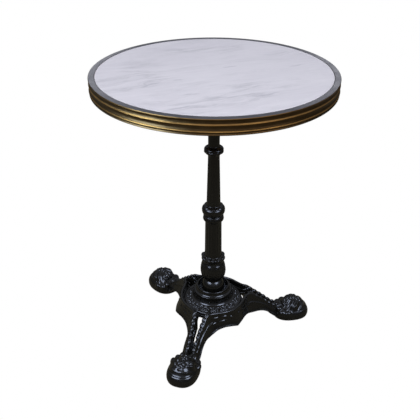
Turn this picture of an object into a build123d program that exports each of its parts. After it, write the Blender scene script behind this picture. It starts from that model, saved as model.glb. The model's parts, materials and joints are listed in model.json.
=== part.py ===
"""Round pedestal bistro table: marble top in a brass rim, cast-iron column and three-legged base.

Frame: origin on the floor under the column, +Z up, the front leg points along -Y. Millimetres.
"""

import os
from math import cos, radians, sin, sqrt

from build123d import *

os.makedirs("parts", exist_ok=True)

# ---- driving dimensions ------------------------------------------------------------------------
# Table top
TOP_HEIGHT = 760.0          # floor to the polished face
TOP_RADIUS = 300.0          # over the brass rim
RIM_HEIGHT = 37.5
RIM_RING_WIDTH = 15.5       # flat brass ring round the marble
RIM_SHEET = 1.2
RIM_WALL_DEPTH = 4.0        # outermost bead to the inside of the wall
RIM_BEAD_RADIUS = 1.7
RIM_BEAD_DROPS = (14.0, 29.0)   # from the top face down to each bead
RIM_LIP_WIDTH = 20.0
MARBLE_THICKNESS = 20.0
JOINT_GAP = 0.3             # glue and paint gap between the pieces of the top
PIN_COUNT = 12
PIN_RADIUS = 1.2
PIN_LENGTH = 14.0
PIN_HEAD_HEIGHT = 0.8
PIN_INSET = 5.5             # the pins' circle lies this far outside the ring's inner edge
MARBLE_CHAMFER = 0.5
RIM_EDGE_ROUNDING = 1.5
RIM_EDGE_HEIGHT = 3.0       # rounded top edge of the band
RIM_BEAD_SHORTFALL = 0.1    # the beads stop just short of the rim's radius
RIM_BEAD_SEAT = 0.9         # the beads rise from this far inside the rim's radius ...
RIM_HOLLOW_DEPTH = 2.1      # ... and the hollow bands between them reach this far
RIM_FOOT_BAND = 2.0
RIM_FOOT_ROUNDING = 0.8

# Mounting spider and its screws
SPIDER_ARM_COUNT = 4
SPIDER_ARM_ANGLE = 45.0
SPIDER_REACH = 165.0
SPIDER_ARM_WIDTH = 30.0
SPIDER_ARM_THICKNESS = 8.0
SPIDER_HUB_RADIUS = 30.0
SPIDER_HUB_HEIGHT = 34.0
SCREW_RADIUS = 2.2
SCREW_REACHES = (105.0, 150.0)
SPIDER_GUSSET_REACH = 88.0
SPIDER_GUSSET_THICKNESS = 8.0
SPIDER_GUSSET_FOOT = 6.0    # above the hub's foot
SPIDER_HUB_ROUNDING = 3.0
NUT_POCKET_CLEARANCE = 3.0
SCREW_LENGTH = 20.0
SCREW_HEAD_HEIGHT = 2.5
SCREW_HOLE_CLEARANCE = 0.3
PILOT_HOLE_SPARE = 1.0

# Tie rod, its nuts and washers
ROD_RADIUS = 6.0
ROD_BORE_RADIUS = 7.0
THREAD_CLEARANCE = 0.05
NUT_ACROSS_FLATS = 18.0
NUT_HEIGHT = 10.0
WASHER_RADIUS = 12.0
WASHER_THICKNESS = 2.5
WASHER_CLEARANCE = 0.4
ROD_CHAMFER = 1.0
ROD_TOP_DROP = 2.0          # the rod ends this far below the board
NUT_CHAMFER = 0.6

# Column: heights of its features above the floor
COLUMN_FOOT = 108.0         # where the ball stands in the rosette
BALL_CENTRE = 134.0
BALL_RADIUS = 31.5
CUP_FOOT = 156.0
CUP_FOOT_BAND = 5.0
CUP_WIDEST = 193.0
WAIST = 215.0
WAIST_BAND = 4.0
PETAL_COLLAR_TOP = 238.0
SHAFT_FOOT = 244.0
SHAFT_TOP = 343.0
KNOP_GROOVE = 361.0         # between the knop's main bead and its thin bead
KNOP_JOINT = 366.0          # the upper and lower castings meet here
KNOP_SHOULDER = 394.0
TAPER_FOOT = 400.0
TAPER_TOP = 540.0
COLLAR_WIDEST = 555.0
COLLAR_TOP = 567.0
NECK_FOOT = 569.0

# Column radii, and points (radius, height) that its curves pass through
CUP_FOOT_RADIUS = 25.8
CUP_LOWER_POINT = (31.8, 173.0)
CUP_RADIUS = 34.1
CUP_UPPER_POINT = (32.8, 204.0)
CUP_TOP_RADIUS = 28.6
WAIST_RADIUS = 27.6
PETAL_COLLAR_RADIUS = 33.2
PETAL_COLLAR_TOP_RADIUS = 26.5
PETAL_SHOULDER_POINT = (23.8, 241.0)
SHAFT_FOOT_RADIUS = 22.6
SHAFT_TOP_RADIUS = 21.4
TAPER_FOOT_RADIUS = 17.9
TAPER_TOP_RADIUS = 14.3
NECK_RADIUS = 14.4
KNOP_LOWER_POINTS = ((26.8, 349.0), (28.0, 356.0))
KNOP_GROOVE_RADIUS = 25.6
KNOP_THIN_BEAD_RADIUS = 27.2
KNOP_JOINT_RADIUS = 24.5
KNOP_RADIUS = 30.8
KNOP_SHOULDER_RADIUS = 24.6
KNOP_SHOULDER_POINT = (19.4, 397.0)
COLLAR_LOWER_POINTS = ((17.0, 543.0), (23.2, 550.0))
COLLAR_RADIUS = 24.6
COLLAR_UPPER_RADIUS = 23.2
COLLAR_TOP_RADIUS = 17.0
SPIGOT_RADIUS = 11.0
SPIGOT_LENGTH = 8.0
SPIGOT_CLEARANCE = 0.15
SOCKET_SPARE = 1.0          # a socket is this much deeper than its spigot
FLUTE_COUNT = 16
FLUTE_RADIUS = 1.9
FLUTE_STOP = 2.0            # plain end of a shaft beyond its flutes

# Rosette
ROSETTE_FOOT = 84.0
ROSETTE_RADIUS = 81.5
ROSETTE_EDGE_HEIGHT = 7.0
ROSETTE_EDGE_ROUNDING = 1.5
ROSETTE_SLOPE_POINT = (66.0, 97.5)
CUP_STEP_FOOT = 107.0       # lower step of the cup: from here ...
CUP_STEP_TOP = 123.0        # ... to here
CUP_STEP_RADIUS = 52.5
CUP_WALL_RADIUS = 50.0      # the cup's wall leans in from this radius ...
CUP_RIM_RADIUS = 43.0       # ... to the middle of its rim
CUP_RIM_HEIGHT = 136.0
CUP_RIM_HALF_WIDTH = 2.0
CUP_STEP_BULGE = 1.0
CUP_WALL_POINT = (46.0, 127.5)
DISH_WALL_POINT = (39.5, 122.0)
DISH_RADIUS = 28.0          # flat bottom of the cup that the ball stands on

# Tripod base
LEG_COUNT = 3
FRONT_LEG_ANGLE = -90.0
STRAP_TOP = 101.0
STRAP_FOOT = 50.0
STRAP_TOP_CORNER_RADIUS = 97.0
STRAP_FOOT_CORNER_RADIUS = 114.0
STRAP_INNER_SHARE = 0.93    # inner outline of the strap wall, as a share of the outer one
PLATE_SHARE = 0.96          # the floor plate's edge lies inside the wall's thickness
FLOOR_PLATE_THICKNESS = 9.0
HUB_RADIUS = 20.0
HUB_FOOT = 60.0
LEG_OPENING_NEAR = 85.0     # the slot between the two ribs of a leg runs from here ...
LEG_OPENING_FAR = 152.0     # ... to here
LEG_OPENING_HALF_NEAR = 12.0
LEG_OPENING_HALF_FAR = 2.5
LEG_WALL = 7.5
LEG_POCKET_SHARE = 0.45     # depth of the hollow cast under a leg, as a share of its height
CUT_MARGIN = 5.0            # cuts run this far past the metal

# Paws and levelling glides
PAW_REACH = 235.5           # column axis to the middle of the paw
PAW_FOOT = 0.0
PAW_HALF_LENGTH = 53.0
PAW_HALF_WIDTH = 42.5
PAW_TOP = 58.0
PAW_WALL = 8.0
GLIDE_BOSS_RADIUS = 13.0
GLIDE_BOSS_FOOT = 11.0
STUD_RADIUS = 4.0
STUD_TOP = 40.0
PAD_FOOT = 0.2              # a glide screwed right in leaves the paw standing on the floor
PAD_RADIUS = 13.0
PAD_THICKNESS = 6.0
STUD_FLANGE_RADIUS = 8.0
STUD_FLANGE_THICKNESS = 3.0
STUD_CHAMFER = 0.8
STUD_HOLE_SPARE = 2.0
PAD_ROUNDING = 1.5

# ---- worked-out heights and radii --------------------------------------------------------------
RIM_FOOT = TOP_HEIGHT - RIM_HEIGHT
BOARD_FOOT = RIM_FOOT + RIM_SHEET + JOINT_GAP
MARBLE_FOOT = TOP_HEIGHT - MARBLE_THICKNESS
RING_INNER_RADIUS = TOP_RADIUS - RIM_RING_WIDTH
MARBLE_RADIUS = RING_INNER_RADIUS - JOINT_GAP
RIM_WALL_INSIDE = TOP_RADIUS - RIM_WALL_DEPTH
LIP_INNER_RADIUS = TOP_RADIUS - RIM_LIP_WIDTH
PIN_CIRCLE_RADIUS = RING_INNER_RADIUS + PIN_INSET
SPIDER_TOP = BOARD_FOOT
ROD_END_COVER = 4.0
SPIDER_NUT_SEAT = SPIDER_TOP - ROD_END_COVER - NUT_HEIGHT - WASHER_THICKNESS
SPIDER_FOOT = SPIDER_TOP - SPIDER_HUB_HEIGHT
COLUMN_TOP = SPIDER_FOOT
BASE_NUT_FOOT = HUB_FOOT - WASHER_THICKNESS - NUT_HEIGHT
LEG_ANGLES = [FRONT_LEG_ANGLE + 360.0 / LEG_COUNT * i for i in range(LEG_COUNT)]
LEG_NAMES = ("front", "right", "left")


def finish_piece(builder, label):
    """Labels a finished sub-part and writes its STEP file."""
    builder.part.label = label
    export_step(builder.part, f"parts/{label}.step")


def turned(point, angle):
    """A plan point turned about the column axis."""
    x, y = point
    c, s = cos(radians(angle)), sin(radians(angle))
    return (x * c - y * s, x * s + y * c)


# ---- table top ---------------------------------------------------------------------------------
with BuildPart() as marble_slab:
    with BuildSketch(Plane.XY.offset(MARBLE_FOOT)):
        Circle(MARBLE_RADIUS)
    extrude(amount=MARBLE_THICKNESS)
    chamfer(marble_slab.edges().group_by(Axis.Z)[-1], length=MARBLE_CHAMFER)
finish_piece(marble_slab, "marble_slab")

with BuildPart() as backing_board:
    with BuildSketch(Plane.XY.offset(BOARD_FOOT)):
        Circle(MARBLE_RADIUS)
    extrude(amount=MARBLE_FOOT - BOARD_FOOT)
    # Pilot holes for the spider's screws
    with BuildSketch(Plane.XY.offset(BOARD_FOOT)):
        for reach in SCREW_REACHES:
            with PolarLocations(reach, SPIDER_ARM_COUNT, start_angle=SPIDER_ARM_ANGLE):
                Circle(SCREW_RADIUS)
    extrude(amount=SCREW_LENGTH - SPIDER_ARM_THICKNESS + PILOT_HOLE_SPARE, mode=Mode.SUBTRACT)
finish_piece(backing_board, "backing_board")

with BuildPart() as rim_core_ring:
    with BuildSketch(Plane.XY.offset(BOARD_FOOT)):
        Circle(RIM_WALL_INSIDE - JOINT_GAP)
        Circle(RING_INNER_RADIUS, mode=Mode.SUBTRACT)
    extrude(amount=TOP_HEIGHT - RIM_SHEET - JOINT_GAP - BOARD_FOOT)
    with BuildSketch(Plane.XY.offset(BOARD_FOOT)):
        with PolarLocations(PIN_CIRCLE_RADIUS, PIN_COUNT):
            Circle(PIN_RADIUS)
    extrude(amount=PIN_LENGTH, mode=Mode.SUBTRACT)
finish_piece(rim_core_ring, "rim_core_ring")

# Rolled band: flat ring on top, two half-round beads between three hollow bands, lip turned in below
BAND_EDGE = TOP_RADIUS - RIM_BEAD_SEAT
BAND_HOLLOW = TOP_RADIUS - RIM_HOLLOW_DEPTH
bead_heights = [TOP_HEIGHT - drop for drop in RIM_BEAD_DROPS]
with BuildPart() as brass_rim:
    with BuildSketch(Plane.XZ):
        with BuildLine():
            edge_start = (TOP_RADIUS - RIM_EDGE_ROUNDING, TOP_HEIGHT)
            edge_foot = TOP_HEIGHT - RIM_EDGE_HEIGHT
            Line((RING_INNER_RADIUS, TOP_HEIGHT - RIM_SHEET), (RING_INNER_RADIUS, TOP_HEIGHT))
            Line((RING_INNER_RADIUS, TOP_HEIGHT), edge_start)
            ThreePointArc(edge_start, (TOP_RADIUS, TOP_HEIGHT - RIM_EDGE_ROUNDING), (BAND_EDGE, edge_foot))
            upper_end = edge_foot
            for bead in bead_heights:
                bead_top = bead + RIM_BEAD_RADIUS
                bead_foot = bead - RIM_BEAD_RADIUS
                ThreePointArc(
                    (BAND_EDGE, upper_end), (BAND_HOLLOW, (upper_end + bead_top) / 2), (BAND_EDGE, bead_top)
                )
                bead_crest = (TOP_RADIUS - RIM_BEAD_SHORTFALL, bead)
                ThreePointArc((BAND_EDGE, bead_top), bead_crest, (BAND_EDGE, bead_foot))
                upper_end = bead_foot
            band_foot = RIM_FOOT + RIM_FOOT_BAND
            foot_edge = BAND_EDGE - RIM_FOOT_ROUNDING
            ThreePointArc(
                (BAND_EDGE, upper_end), (BAND_HOLLOW, (upper_end + band_foot) / 2), (BAND_EDGE, band_foot)
            )
            ThreePointArc(
                (BAND_EDGE, band_foot), (BAND_EDGE + 0.2, RIM_FOOT + RIM_FOOT_ROUNDING), (foot_edge, RIM_FOOT)
            )
            Polyline(
                (foot_edge, RIM_FOOT),
                (LIP_INNER_RADIUS, RIM_FOOT),
                (LIP_INNER_RADIUS, RIM_FOOT + RIM_SHEET),
                (RIM_WALL_INSIDE, RIM_FOOT + RIM_SHEET),
                (RIM_WALL_INSIDE, TOP_HEIGHT - RIM_SHEET),
                (RING_INNER_RADIUS, TOP_HEIGHT - RIM_SHEET),
            )
        make_face()
    revolve(axis=Axis.Z)
    with BuildSketch(Plane.XY.offset(RIM_FOOT)):
        with PolarLocations(PIN_CIRCLE_RADIUS, PIN_COUNT):
            Circle(PIN_RADIUS)
    extrude(amount=RIM_SHEET, mode=Mode.SUBTRACT)
finish_piece(brass_rim, "brass_rim")

with BuildPart() as rim_pins:
    with BuildSketch(Plane.XY.offset(RIM_FOOT - PIN_HEAD_HEIGHT)):
        with PolarLocations(PIN_CIRCLE_RADIUS, PIN_COUNT):
            Circle(2 * PIN_RADIUS)
    extrude(amount=PIN_HEAD_HEIGHT)
    with BuildSketch(Plane.XY.offset(RIM_FOOT)):
        with PolarLocations(PIN_CIRCLE_RADIUS, PIN_COUNT):
            Circle(PIN_RADIUS - THREAD_CLEARANCE)
    extrude(amount=PIN_LENGTH)
finish_piece(rim_pins, "rim_pins")

# ---- mounting spider ---------------------------------------------------------------------------
with BuildPart() as mounting_spider:
    with BuildSketch(Plane.XY.offset(SPIDER_TOP)):
        with PolarLocations(SPIDER_REACH / 2, SPIDER_ARM_COUNT, start_angle=SPIDER_ARM_ANGLE):
            SlotOverall(SPIDER_REACH + SPIDER_ARM_WIDTH, SPIDER_ARM_WIDTH)
    extrude(amount=-SPIDER_ARM_THICKNESS)
    # Gusset under each arm, deepest at the hub
    for arm in range(SPIDER_ARM_COUNT // 2):
        arm_angle = SPIDER_ARM_ANGLE + 360 / SPIDER_ARM_COUNT * arm
        along = turned((1, 0), arm_angle)
        across = turned((0, -1), arm_angle)
        with BuildSketch(Plane((0, 0, 0), x_dir=(*along, 0), z_dir=(*across, 0))):
            with BuildLine():
                Polyline(
                    (-SPIDER_GUSSET_REACH, SPIDER_TOP - SPIDER_ARM_THICKNESS),
                    (-SPIDER_HUB_RADIUS, SPIDER_FOOT + SPIDER_GUSSET_FOOT),
                    (SPIDER_HUB_RADIUS, SPIDER_FOOT + SPIDER_GUSSET_FOOT),
                    (SPIDER_GUSSET_REACH, SPIDER_TOP - SPIDER_ARM_THICKNESS),
                    close=True,
                )
            make_face()
        extrude(amount=SPIDER_GUSSET_THICKNESS / 2, both=True)
    with BuildSketch(Plane.XY.offset(SPIDER_TOP)):
        Circle(SPIDER_HUB_RADIUS)
    extrude(amount=-SPIDER_HUB_HEIGHT)
    fillet(mounting_spider.faces().sort_by(Axis.Z)[0].edges(), radius=SPIDER_HUB_ROUNDING)
    # Nut pocket above, column socket below, rod hole between them
    with BuildSketch(Plane.XY.offset(SPIDER_TOP)):
        Circle(WASHER_RADIUS + NUT_POCKET_CLEARANCE)
    extrude(amount=SPIDER_NUT_SEAT - SPIDER_TOP, mode=Mode.SUBTRACT)
    with BuildSketch(Plane.XY.offset(SPIDER_FOOT)):
        Circle(SPIGOT_RADIUS + SPIGOT_CLEARANCE)
    extrude(amount=SPIGOT_LENGTH + SOCKET_SPARE, mode=Mode.SUBTRACT)
    with BuildSketch(Plane.XY.offset(SPIDER_FOOT)):
        Circle(ROD_BORE_RADIUS)
    extrude(amount=SPIDER_HUB_HEIGHT, mode=Mode.SUBTRACT)
    with BuildSketch(Plane.XY.offset(SPIDER_TOP)):
        for reach in SCREW_REACHES:
            with PolarLocations(reach, SPIDER_ARM_COUNT, start_angle=SPIDER_ARM_ANGLE):
                Circle(SCREW_RADIUS + SCREW_HOLE_CLEARANCE)
    extrude(amount=-SPIDER_HUB_HEIGHT, mode=Mode.SUBTRACT)
finish_piece(mounting_spider, "mounting_spider")

with BuildPart() as spider_screws:
    with BuildSketch(Plane.XY.offset(SPIDER_TOP - SPIDER_ARM_THICKNESS - SCREW_HEAD_HEIGHT)):
        for reach in SCREW_REACHES:
            with PolarLocations(reach, SPIDER_ARM_COUNT, start_angle=SPIDER_ARM_ANGLE):
                Circle(2 * SCREW_RADIUS)
    extrude(amount=SCREW_HEAD_HEIGHT)
    with BuildSketch(Plane.XY.offset(SPIDER_TOP - SPIDER_ARM_THICKNESS)):
        for reach in SCREW_REACHES:
            with PolarLocations(reach, SPIDER_ARM_COUNT, start_angle=SPIDER_ARM_ANGLE):
                Circle(SCREW_RADIUS - THREAD_CLEARANCE)
    extrude(amount=SCREW_LENGTH)
finish_piece(spider_screws, "spider_screws")

# ---- tie rod, nuts and washers -----------------------------------------------------------------
with BuildPart() as tie_rod:
    with BuildSketch(Plane.XY.offset(BASE_NUT_FOOT - ROD_END_COVER)):
        Circle(ROD_RADIUS)
    extrude(amount=SPIDER_TOP - ROD_TOP_DROP - (BASE_NUT_FOOT - ROD_END_COVER))
    chamfer(tie_rod.edges().filter_by(GeomType.CIRCLE), length=ROD_CHAMFER)
finish_piece(tie_rod, "tie_rod")


def washer(foot, label):
    """A flat washer on the tie rod."""
    with BuildPart() as piece:
        with BuildSketch(Plane.XY.offset(foot)):
            Circle(WASHER_RADIUS)
            Circle(ROD_RADIUS + WASHER_CLEARANCE, mode=Mode.SUBTRACT)
        extrude(amount=WASHER_THICKNESS)
    finish_piece(piece, label)


def nut(foot, label):
    """A hexagon nut on the tie rod."""
    with BuildPart() as piece:
        with BuildSketch(Plane.XY.offset(foot)):
            RegularPolygon(NUT_ACROSS_FLATS / 2, 6, major_radius=False)
            Circle(ROD_RADIUS + THREAD_CLEARANCE, mode=Mode.SUBTRACT)
        extrude(amount=NUT_HEIGHT)
        chamfer(piece.edges().filter_by(GeomType.CIRCLE), length=NUT_CHAMFER)
    finish_piece(piece, label)


washer(SPIDER_NUT_SEAT, "rod_top_washer")
nut(SPIDER_NUT_SEAT + WASHER_THICKNESS, "rod_top_nut")
washer(HUB_FOOT - WASHER_THICKNESS, "base_washer")
nut(BASE_NUT_FOOT, "base_nut")


# ---- column ------------------------------------------------------------------------------------
def bulge(foot, foot_radius, top, top_radius, middle_radius):
    """One rounded moulding of a column outline, drawn upwards."""
    ThreePointArc((foot_radius, foot), (middle_radius, (foot + top) / 2), (top_radius, top))


def cut_flutes(foot, foot_radius, top, top_radius):
    """Cuts the shallow flutes of a round shaft into the current part."""
    with BuildPart(mode=Mode.PRIVATE) as flute:
        with BuildSketch(Plane.XY.offset(foot)):
            with Locations((foot_radius + FLUTE_RADIUS / 2, 0)):
                Circle(FLUTE_RADIUS)
        with BuildSketch(Plane.XY.offset(top)):
            with Locations((top_radius + FLUTE_RADIUS / 2, 0)):
                Circle(FLUTE_RADIUS)
        loft()
    with PolarLocations(0, FLUTE_COUNT):
        add(flute.part, mode=Mode.SUBTRACT)


with BuildPart() as lower_column:
    with BuildSketch(Plane.XZ):
        with BuildLine():
            foot_radius = sqrt(BALL_RADIUS**2 - (BALL_CENTRE - COLUMN_FOOT) ** 2)
            neck_radius = sqrt(BALL_RADIUS**2 - (CUP_FOOT - BALL_CENTRE) ** 2)
            Polyline(
                (0, COLUMN_FOOT - SPIGOT_LENGTH),
                (SPIGOT_RADIUS, COLUMN_FOOT - SPIGOT_LENGTH),
                (SPIGOT_RADIUS, COLUMN_FOOT),
                (foot_radius, COLUMN_FOOT),
            )
            # Ball
            ThreePointArc((foot_radius, COLUMN_FOOT), (BALL_RADIUS, BALL_CENTRE), (neck_radius, CUP_FOOT))
            # Tulip cup
            cup_start = (CUP_FOOT_RADIUS, CUP_FOOT + CUP_FOOT_BAND)
            Line((neck_radius, CUP_FOOT), cup_start)
            cup_end = (CUP_TOP_RADIUS, WAIST)
            Spline(cup_start, CUP_LOWER_POINT, (CUP_RADIUS, CUP_WIDEST), CUP_UPPER_POINT, cup_end)
            # Petal collar over a narrow waist
            collar_foot = WAIST + WAIST_BAND
            Line(cup_end, (WAIST_RADIUS, collar_foot))
            bulge(collar_foot, WAIST_RADIUS, PETAL_COLLAR_TOP, PETAL_COLLAR_TOP_RADIUS, PETAL_COLLAR_RADIUS)
            collar_end = (PETAL_COLLAR_TOP_RADIUS, PETAL_COLLAR_TOP)
            Spline(collar_end, PETAL_SHOULDER_POINT, (SHAFT_FOOT_RADIUS, SHAFT_FOOT))
            Line((SHAFT_FOOT_RADIUS, SHAFT_FOOT), (SHAFT_TOP_RADIUS, SHAFT_TOP))
            # Lower half of the knop: main bead, then a thin bead
            Spline((SHAFT_TOP_RADIUS, SHAFT_TOP), *KNOP_LOWER_POINTS, (KNOP_GROOVE_RADIUS, KNOP_GROOVE))
            bulge(KNOP_GROOVE, KNOP_GROOVE_RADIUS, KNOP_JOINT, KNOP_JOINT_RADIUS, KNOP_THIN_BEAD_RADIUS)
            Polyline(
                (KNOP_JOINT_RADIUS, KNOP_JOINT),
                (SPIGOT_RADIUS, KNOP_JOINT),
                (SPIGOT_RADIUS, KNOP_JOINT + SPIGOT_LENGTH),
                (0, KNOP_JOINT + SPIGOT_LENGTH),
                (0, COLUMN_FOOT - SPIGOT_LENGTH),
            )
        make_face()
    revolve(axis=Axis.Z)
    cut_flutes(SHAFT_FOOT + FLUTE_STOP, SHAFT_FOOT_RADIUS, SHAFT_TOP - FLUTE_STOP, SHAFT_TOP_RADIUS)
    with BuildSketch(Plane.XY.offset(COLUMN_FOOT - SPIGOT_LENGTH)):
        Circle(ROD_BORE_RADIUS)
    extrude(amount=KNOP_JOINT + 2 * SPIGOT_LENGTH - COLUMN_FOOT, mode=Mode.SUBTRACT)
finish_piece(lower_column, "lower_column")

with BuildPart() as upper_column:
    with BuildSketch(Plane.XZ):
        with BuildLine():
            # Upper half of the knop, then the shoulder with its leaf tips
            Line((0, KNOP_JOINT), (KNOP_JOINT_RADIUS, KNOP_JOINT))
            bulge(KNOP_JOINT, KNOP_JOINT_RADIUS, KNOP_SHOULDER, KNOP_SHOULDER_RADIUS, KNOP_RADIUS)
            shoulder = (KNOP_SHOULDER_RADIUS, KNOP_SHOULDER)
            Spline(shoulder, KNOP_SHOULDER_POINT, (TAPER_FOOT_RADIUS, TAPER_FOOT))
            Line((TAPER_FOOT_RADIUS, TAPER_FOOT), (TAPER_TOP_RADIUS, TAPER_TOP))
            # Collar: gadrooned lower half and a smooth upper bead
            Spline((TAPER_TOP_RADIUS, TAPER_TOP), *COLLAR_LOWER_POINTS, (COLLAR_RADIUS, COLLAR_WIDEST))
            bulge(COLLAR_WIDEST, COLLAR_RADIUS, COLLAR_TOP, COLLAR_TOP_RADIUS, COLLAR_UPPER_RADIUS)
            Line((COLLAR_TOP_RADIUS, COLLAR_TOP), (NECK_RADIUS, NECK_FOOT))
            Polyline(
                (NECK_RADIUS, NECK_FOOT),
                (NECK_RADIUS, COLUMN_TOP),
                (SPIGOT_RADIUS, COLUMN_TOP),
                (SPIGOT_RADIUS, COLUMN_TOP + SPIGOT_LENGTH),
                (0, COLUMN_TOP + SPIGOT_LENGTH),
                (0, KNOP_JOINT),
            )
        make_face()
    revolve(axis=Axis.Z)
    cut_flutes(TAPER_FOOT + FLUTE_STOP, TAPER_FOOT_RADIUS, TAPER_TOP - FLUTE_STOP, TAPER_TOP_RADIUS)
    with BuildSketch(Plane.XY.offset(KNOP_JOINT)):
        Circle(SPIGOT_RADIUS + SPIGOT_CLEARANCE)
    extrude(amount=SPIGOT_LENGTH + SOCKET_SPARE, mode=Mode.SUBTRACT)
    with BuildSketch(Plane.XY.offset(KNOP_JOINT)):
        Circle(ROD_BORE_RADIUS)
    extrude(amount=COLUMN_TOP + SPIGOT_LENGTH - KNOP_JOINT, mode=Mode.SUBTRACT)
finish_piece(upper_column, "upper_column")

with BuildPart() as base_rosette:
    with BuildSketch(Plane.XZ):
        with BuildLine():
            # Sloping disc up to the stepped cup that the ball stands in
            edge_radius = ROSETTE_RADIUS - ROSETTE_EDGE_ROUNDING
            edge_top = ROSETTE_FOOT + ROSETTE_EDGE_HEIGHT
            Polyline((0, ROSETTE_FOOT), (edge_radius, ROSETTE_FOOT))
            bulge(ROSETTE_FOOT, edge_radius, edge_top, edge_radius, ROSETTE_RADIUS)
            Spline((edge_radius, edge_top), ROSETTE_SLOPE_POINT, (CUP_STEP_RADIUS, CUP_STEP_FOOT))
            step_bulge = CUP_STEP_RADIUS + CUP_STEP_BULGE
            bulge(CUP_STEP_FOOT, CUP_STEP_RADIUS, CUP_STEP_TOP, CUP_STEP_RADIUS, step_bulge)
            Line((CUP_STEP_RADIUS, CUP_STEP_TOP), (CUP_WALL_RADIUS, CUP_STEP_TOP))
            rim_outside = (CUP_RIM_RADIUS + CUP_RIM_HALF_WIDTH, CUP_RIM_HEIGHT)
            rim_inside = (CUP_RIM_RADIUS - CUP_RIM_HALF_WIDTH, CUP_RIM_HEIGHT)
            Spline((CUP_WALL_RADIUS, CUP_STEP_TOP), CUP_WALL_POINT, rim_outside)
            Line(rim_outside, rim_inside)
            Spline(rim_inside, DISH_WALL_POINT, (DISH_RADIUS, COLUMN_FOOT))
            Polyline((DISH_RADIUS, COLUMN_FOOT), (0, COLUMN_FOOT), (0, ROSETTE_FOOT))
        make_face()
    revolve(axis=Axis.Z)
    with BuildSketch(Plane.XY.offset(COLUMN_FOOT)):
        Circle(SPIGOT_RADIUS + SPIGOT_CLEARANCE)
    extrude(amount=-SPIGOT_LENGTH - SOCKET_SPARE, mode=Mode.SUBTRACT)
    with BuildSketch(Plane.XY.offset(ROSETTE_FOOT)):
        Circle(ROD_BORE_RADIUS)
    extrude(amount=COLUMN_FOOT - ROSETTE_FOOT, mode=Mode.SUBTRACT)
    # Cast hollow underneath, with a wall about 7 mm thick
    with BuildSketch(Plane.XZ):
        with BuildLine():
            Polyline(
                (24, ROSETTE_FOOT),
                (73, ROSETTE_FOOT),
                (68, 87.5),
                (47, 99),
                (46, 110),
                (38, 102),
                (24, 99.5),
                close=True,
            )
        make_face()
    revolve(axis=Axis.Z, mode=Mode.SUBTRACT)
finish_piece(base_rosette, "base_rosette")


# ---- tripod base -------------------------------------------------------------------------------
# Half outlines of the strap wall in a leg's own frame: x runs out along the leg, y across it.
# Each starts at the corner between two legs and ends where the leg's ribs leave the wall.
def corner(radius):
    """Corner point between two legs, in the leg's frame."""
    return (radius * cos(radians(60)), radius * sin(radians(60)))


STRAP_TOP_CURVE = [corner(STRAP_TOP_CORNER_RADIUS), (71.0, 60.0), (84.0, 41.5), (97.0, 25.0)]
STRAP_TOP_END = (120.0, 20.0)
STRAP_FOOT_CURVE = [corner(STRAP_FOOT_CORNER_RADIUS), (79.0, 67.5), (95.0, 48.0), (112.0, 37.0)]
STRAP_FOOT_END = (124.0, 32.0)


def strap_outline(height, curve, end, share):
    """Closed outline of the strap wall round all three legs, at one height."""
    with BuildSketch(Plane.XY.offset(height)) as outline:
        with BuildLine():
            for angle in LEG_ANGLES:
                near = [turned((share * x, -share * y), angle) for x, y in curve]
                far = [turned((share * x, share * y), angle) for x, y in reversed(curve)]
                tip_near = turned((share * end[0], -share * end[1]), angle)
                tip_far = turned((share * end[0], share * end[1]), angle)
                Spline(*near)
                Polyline(near[-1], tip_near, tip_far, far[0])
                Spline(*far)
        make_face()
    return outline.sketch


# Stations of one leg: reach, top height, half width at the top, foot height, half width at the foot
LEG_STATIONS = [
    (104.0, 101.0, 22.0, 47.0, 37.0),
    (122.0, 90.5, 19.5, 43.0, 32.0),
    (150.0, 69.0, 15.5, 38.0, 27.0),
    (172.0, 50.0, 13.0, 23.0, 27.0),
    (196.0, 36.0, 12.0, 6.0, 26.0),
]


def leg_section(reach, top, top_half, foot, foot_half):
    """Cross-section of a leg, square to its reach."""
    with BuildSketch(Plane.YZ.offset(reach)) as section:
        Polygon((-foot_half, foot), (foot_half, foot), (top_half, top), (-top_half, top), align=None)
    return section.sketch


with BuildPart() as leg_body:
    loft(sections=[leg_section(*station) for station in LEG_STATIONS])

with BuildPart() as leg_hollow:
    loft(
        sections=[
            leg_section(
                reach,
                foot + LEG_POCKET_SHARE * (top - foot),
                top_half + (1 - LEG_POCKET_SHARE) * (foot_half - top_half) - LEG_WALL,
                foot - 0.5,
                foot_half - LEG_WALL,
            )
            for reach, top, top_half, foot, foot_half in LEG_STATIONS
        ]
    )

# Stations of a paw: height, half length, half width, middle's reach
PAW_STATIONS = [
    (PAW_FOOT, PAW_HALF_LENGTH - 5.5, PAW_HALF_WIDTH - 5, PAW_REACH),
    (PAW_FOOT + 9, PAW_HALF_LENGTH, PAW_HALF_WIDTH, PAW_REACH),
    (PAW_FOOT + 20, PAW_HALF_LENGTH - 0.5, PAW_HALF_WIDTH - 0.5, PAW_REACH),
    (PAW_FOOT + 32, PAW_HALF_LENGTH - 4.5, PAW_HALF_WIDTH - 4.5, PAW_REACH),
    (PAW_FOOT + 44, PAW_HALF_LENGTH - 13, PAW_HALF_WIDTH - 12, PAW_REACH),
    (PAW_FOOT + 52, PAW_HALF_LENGTH - 25, PAW_HALF_WIDTH - 21, PAW_REACH),
    (PAW_TOP, PAW_HALF_LENGTH - 40, PAW_HALF_WIDTH - 32, PAW_REACH),
]

with BuildPart() as paw:
    for height, half_length, half_width, reach in PAW_STATIONS:
        with BuildSketch(Plane.XY.offset(height)):
            with Locations((reach, 0)):
                Ellipse(half_length, half_width)
    loft()

with BuildPart() as paw_hollow:
    for height, half_length, half_width, reach in (PAW_STATIONS[0], PAW_STATIONS[2], PAW_STATIONS[3]):
        with BuildSketch(Plane.XY.offset(height)):
            with Locations((reach, 0)):
                Ellipse(half_length - PAW_WALL, half_width - PAW_WALL)
    loft()

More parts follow.
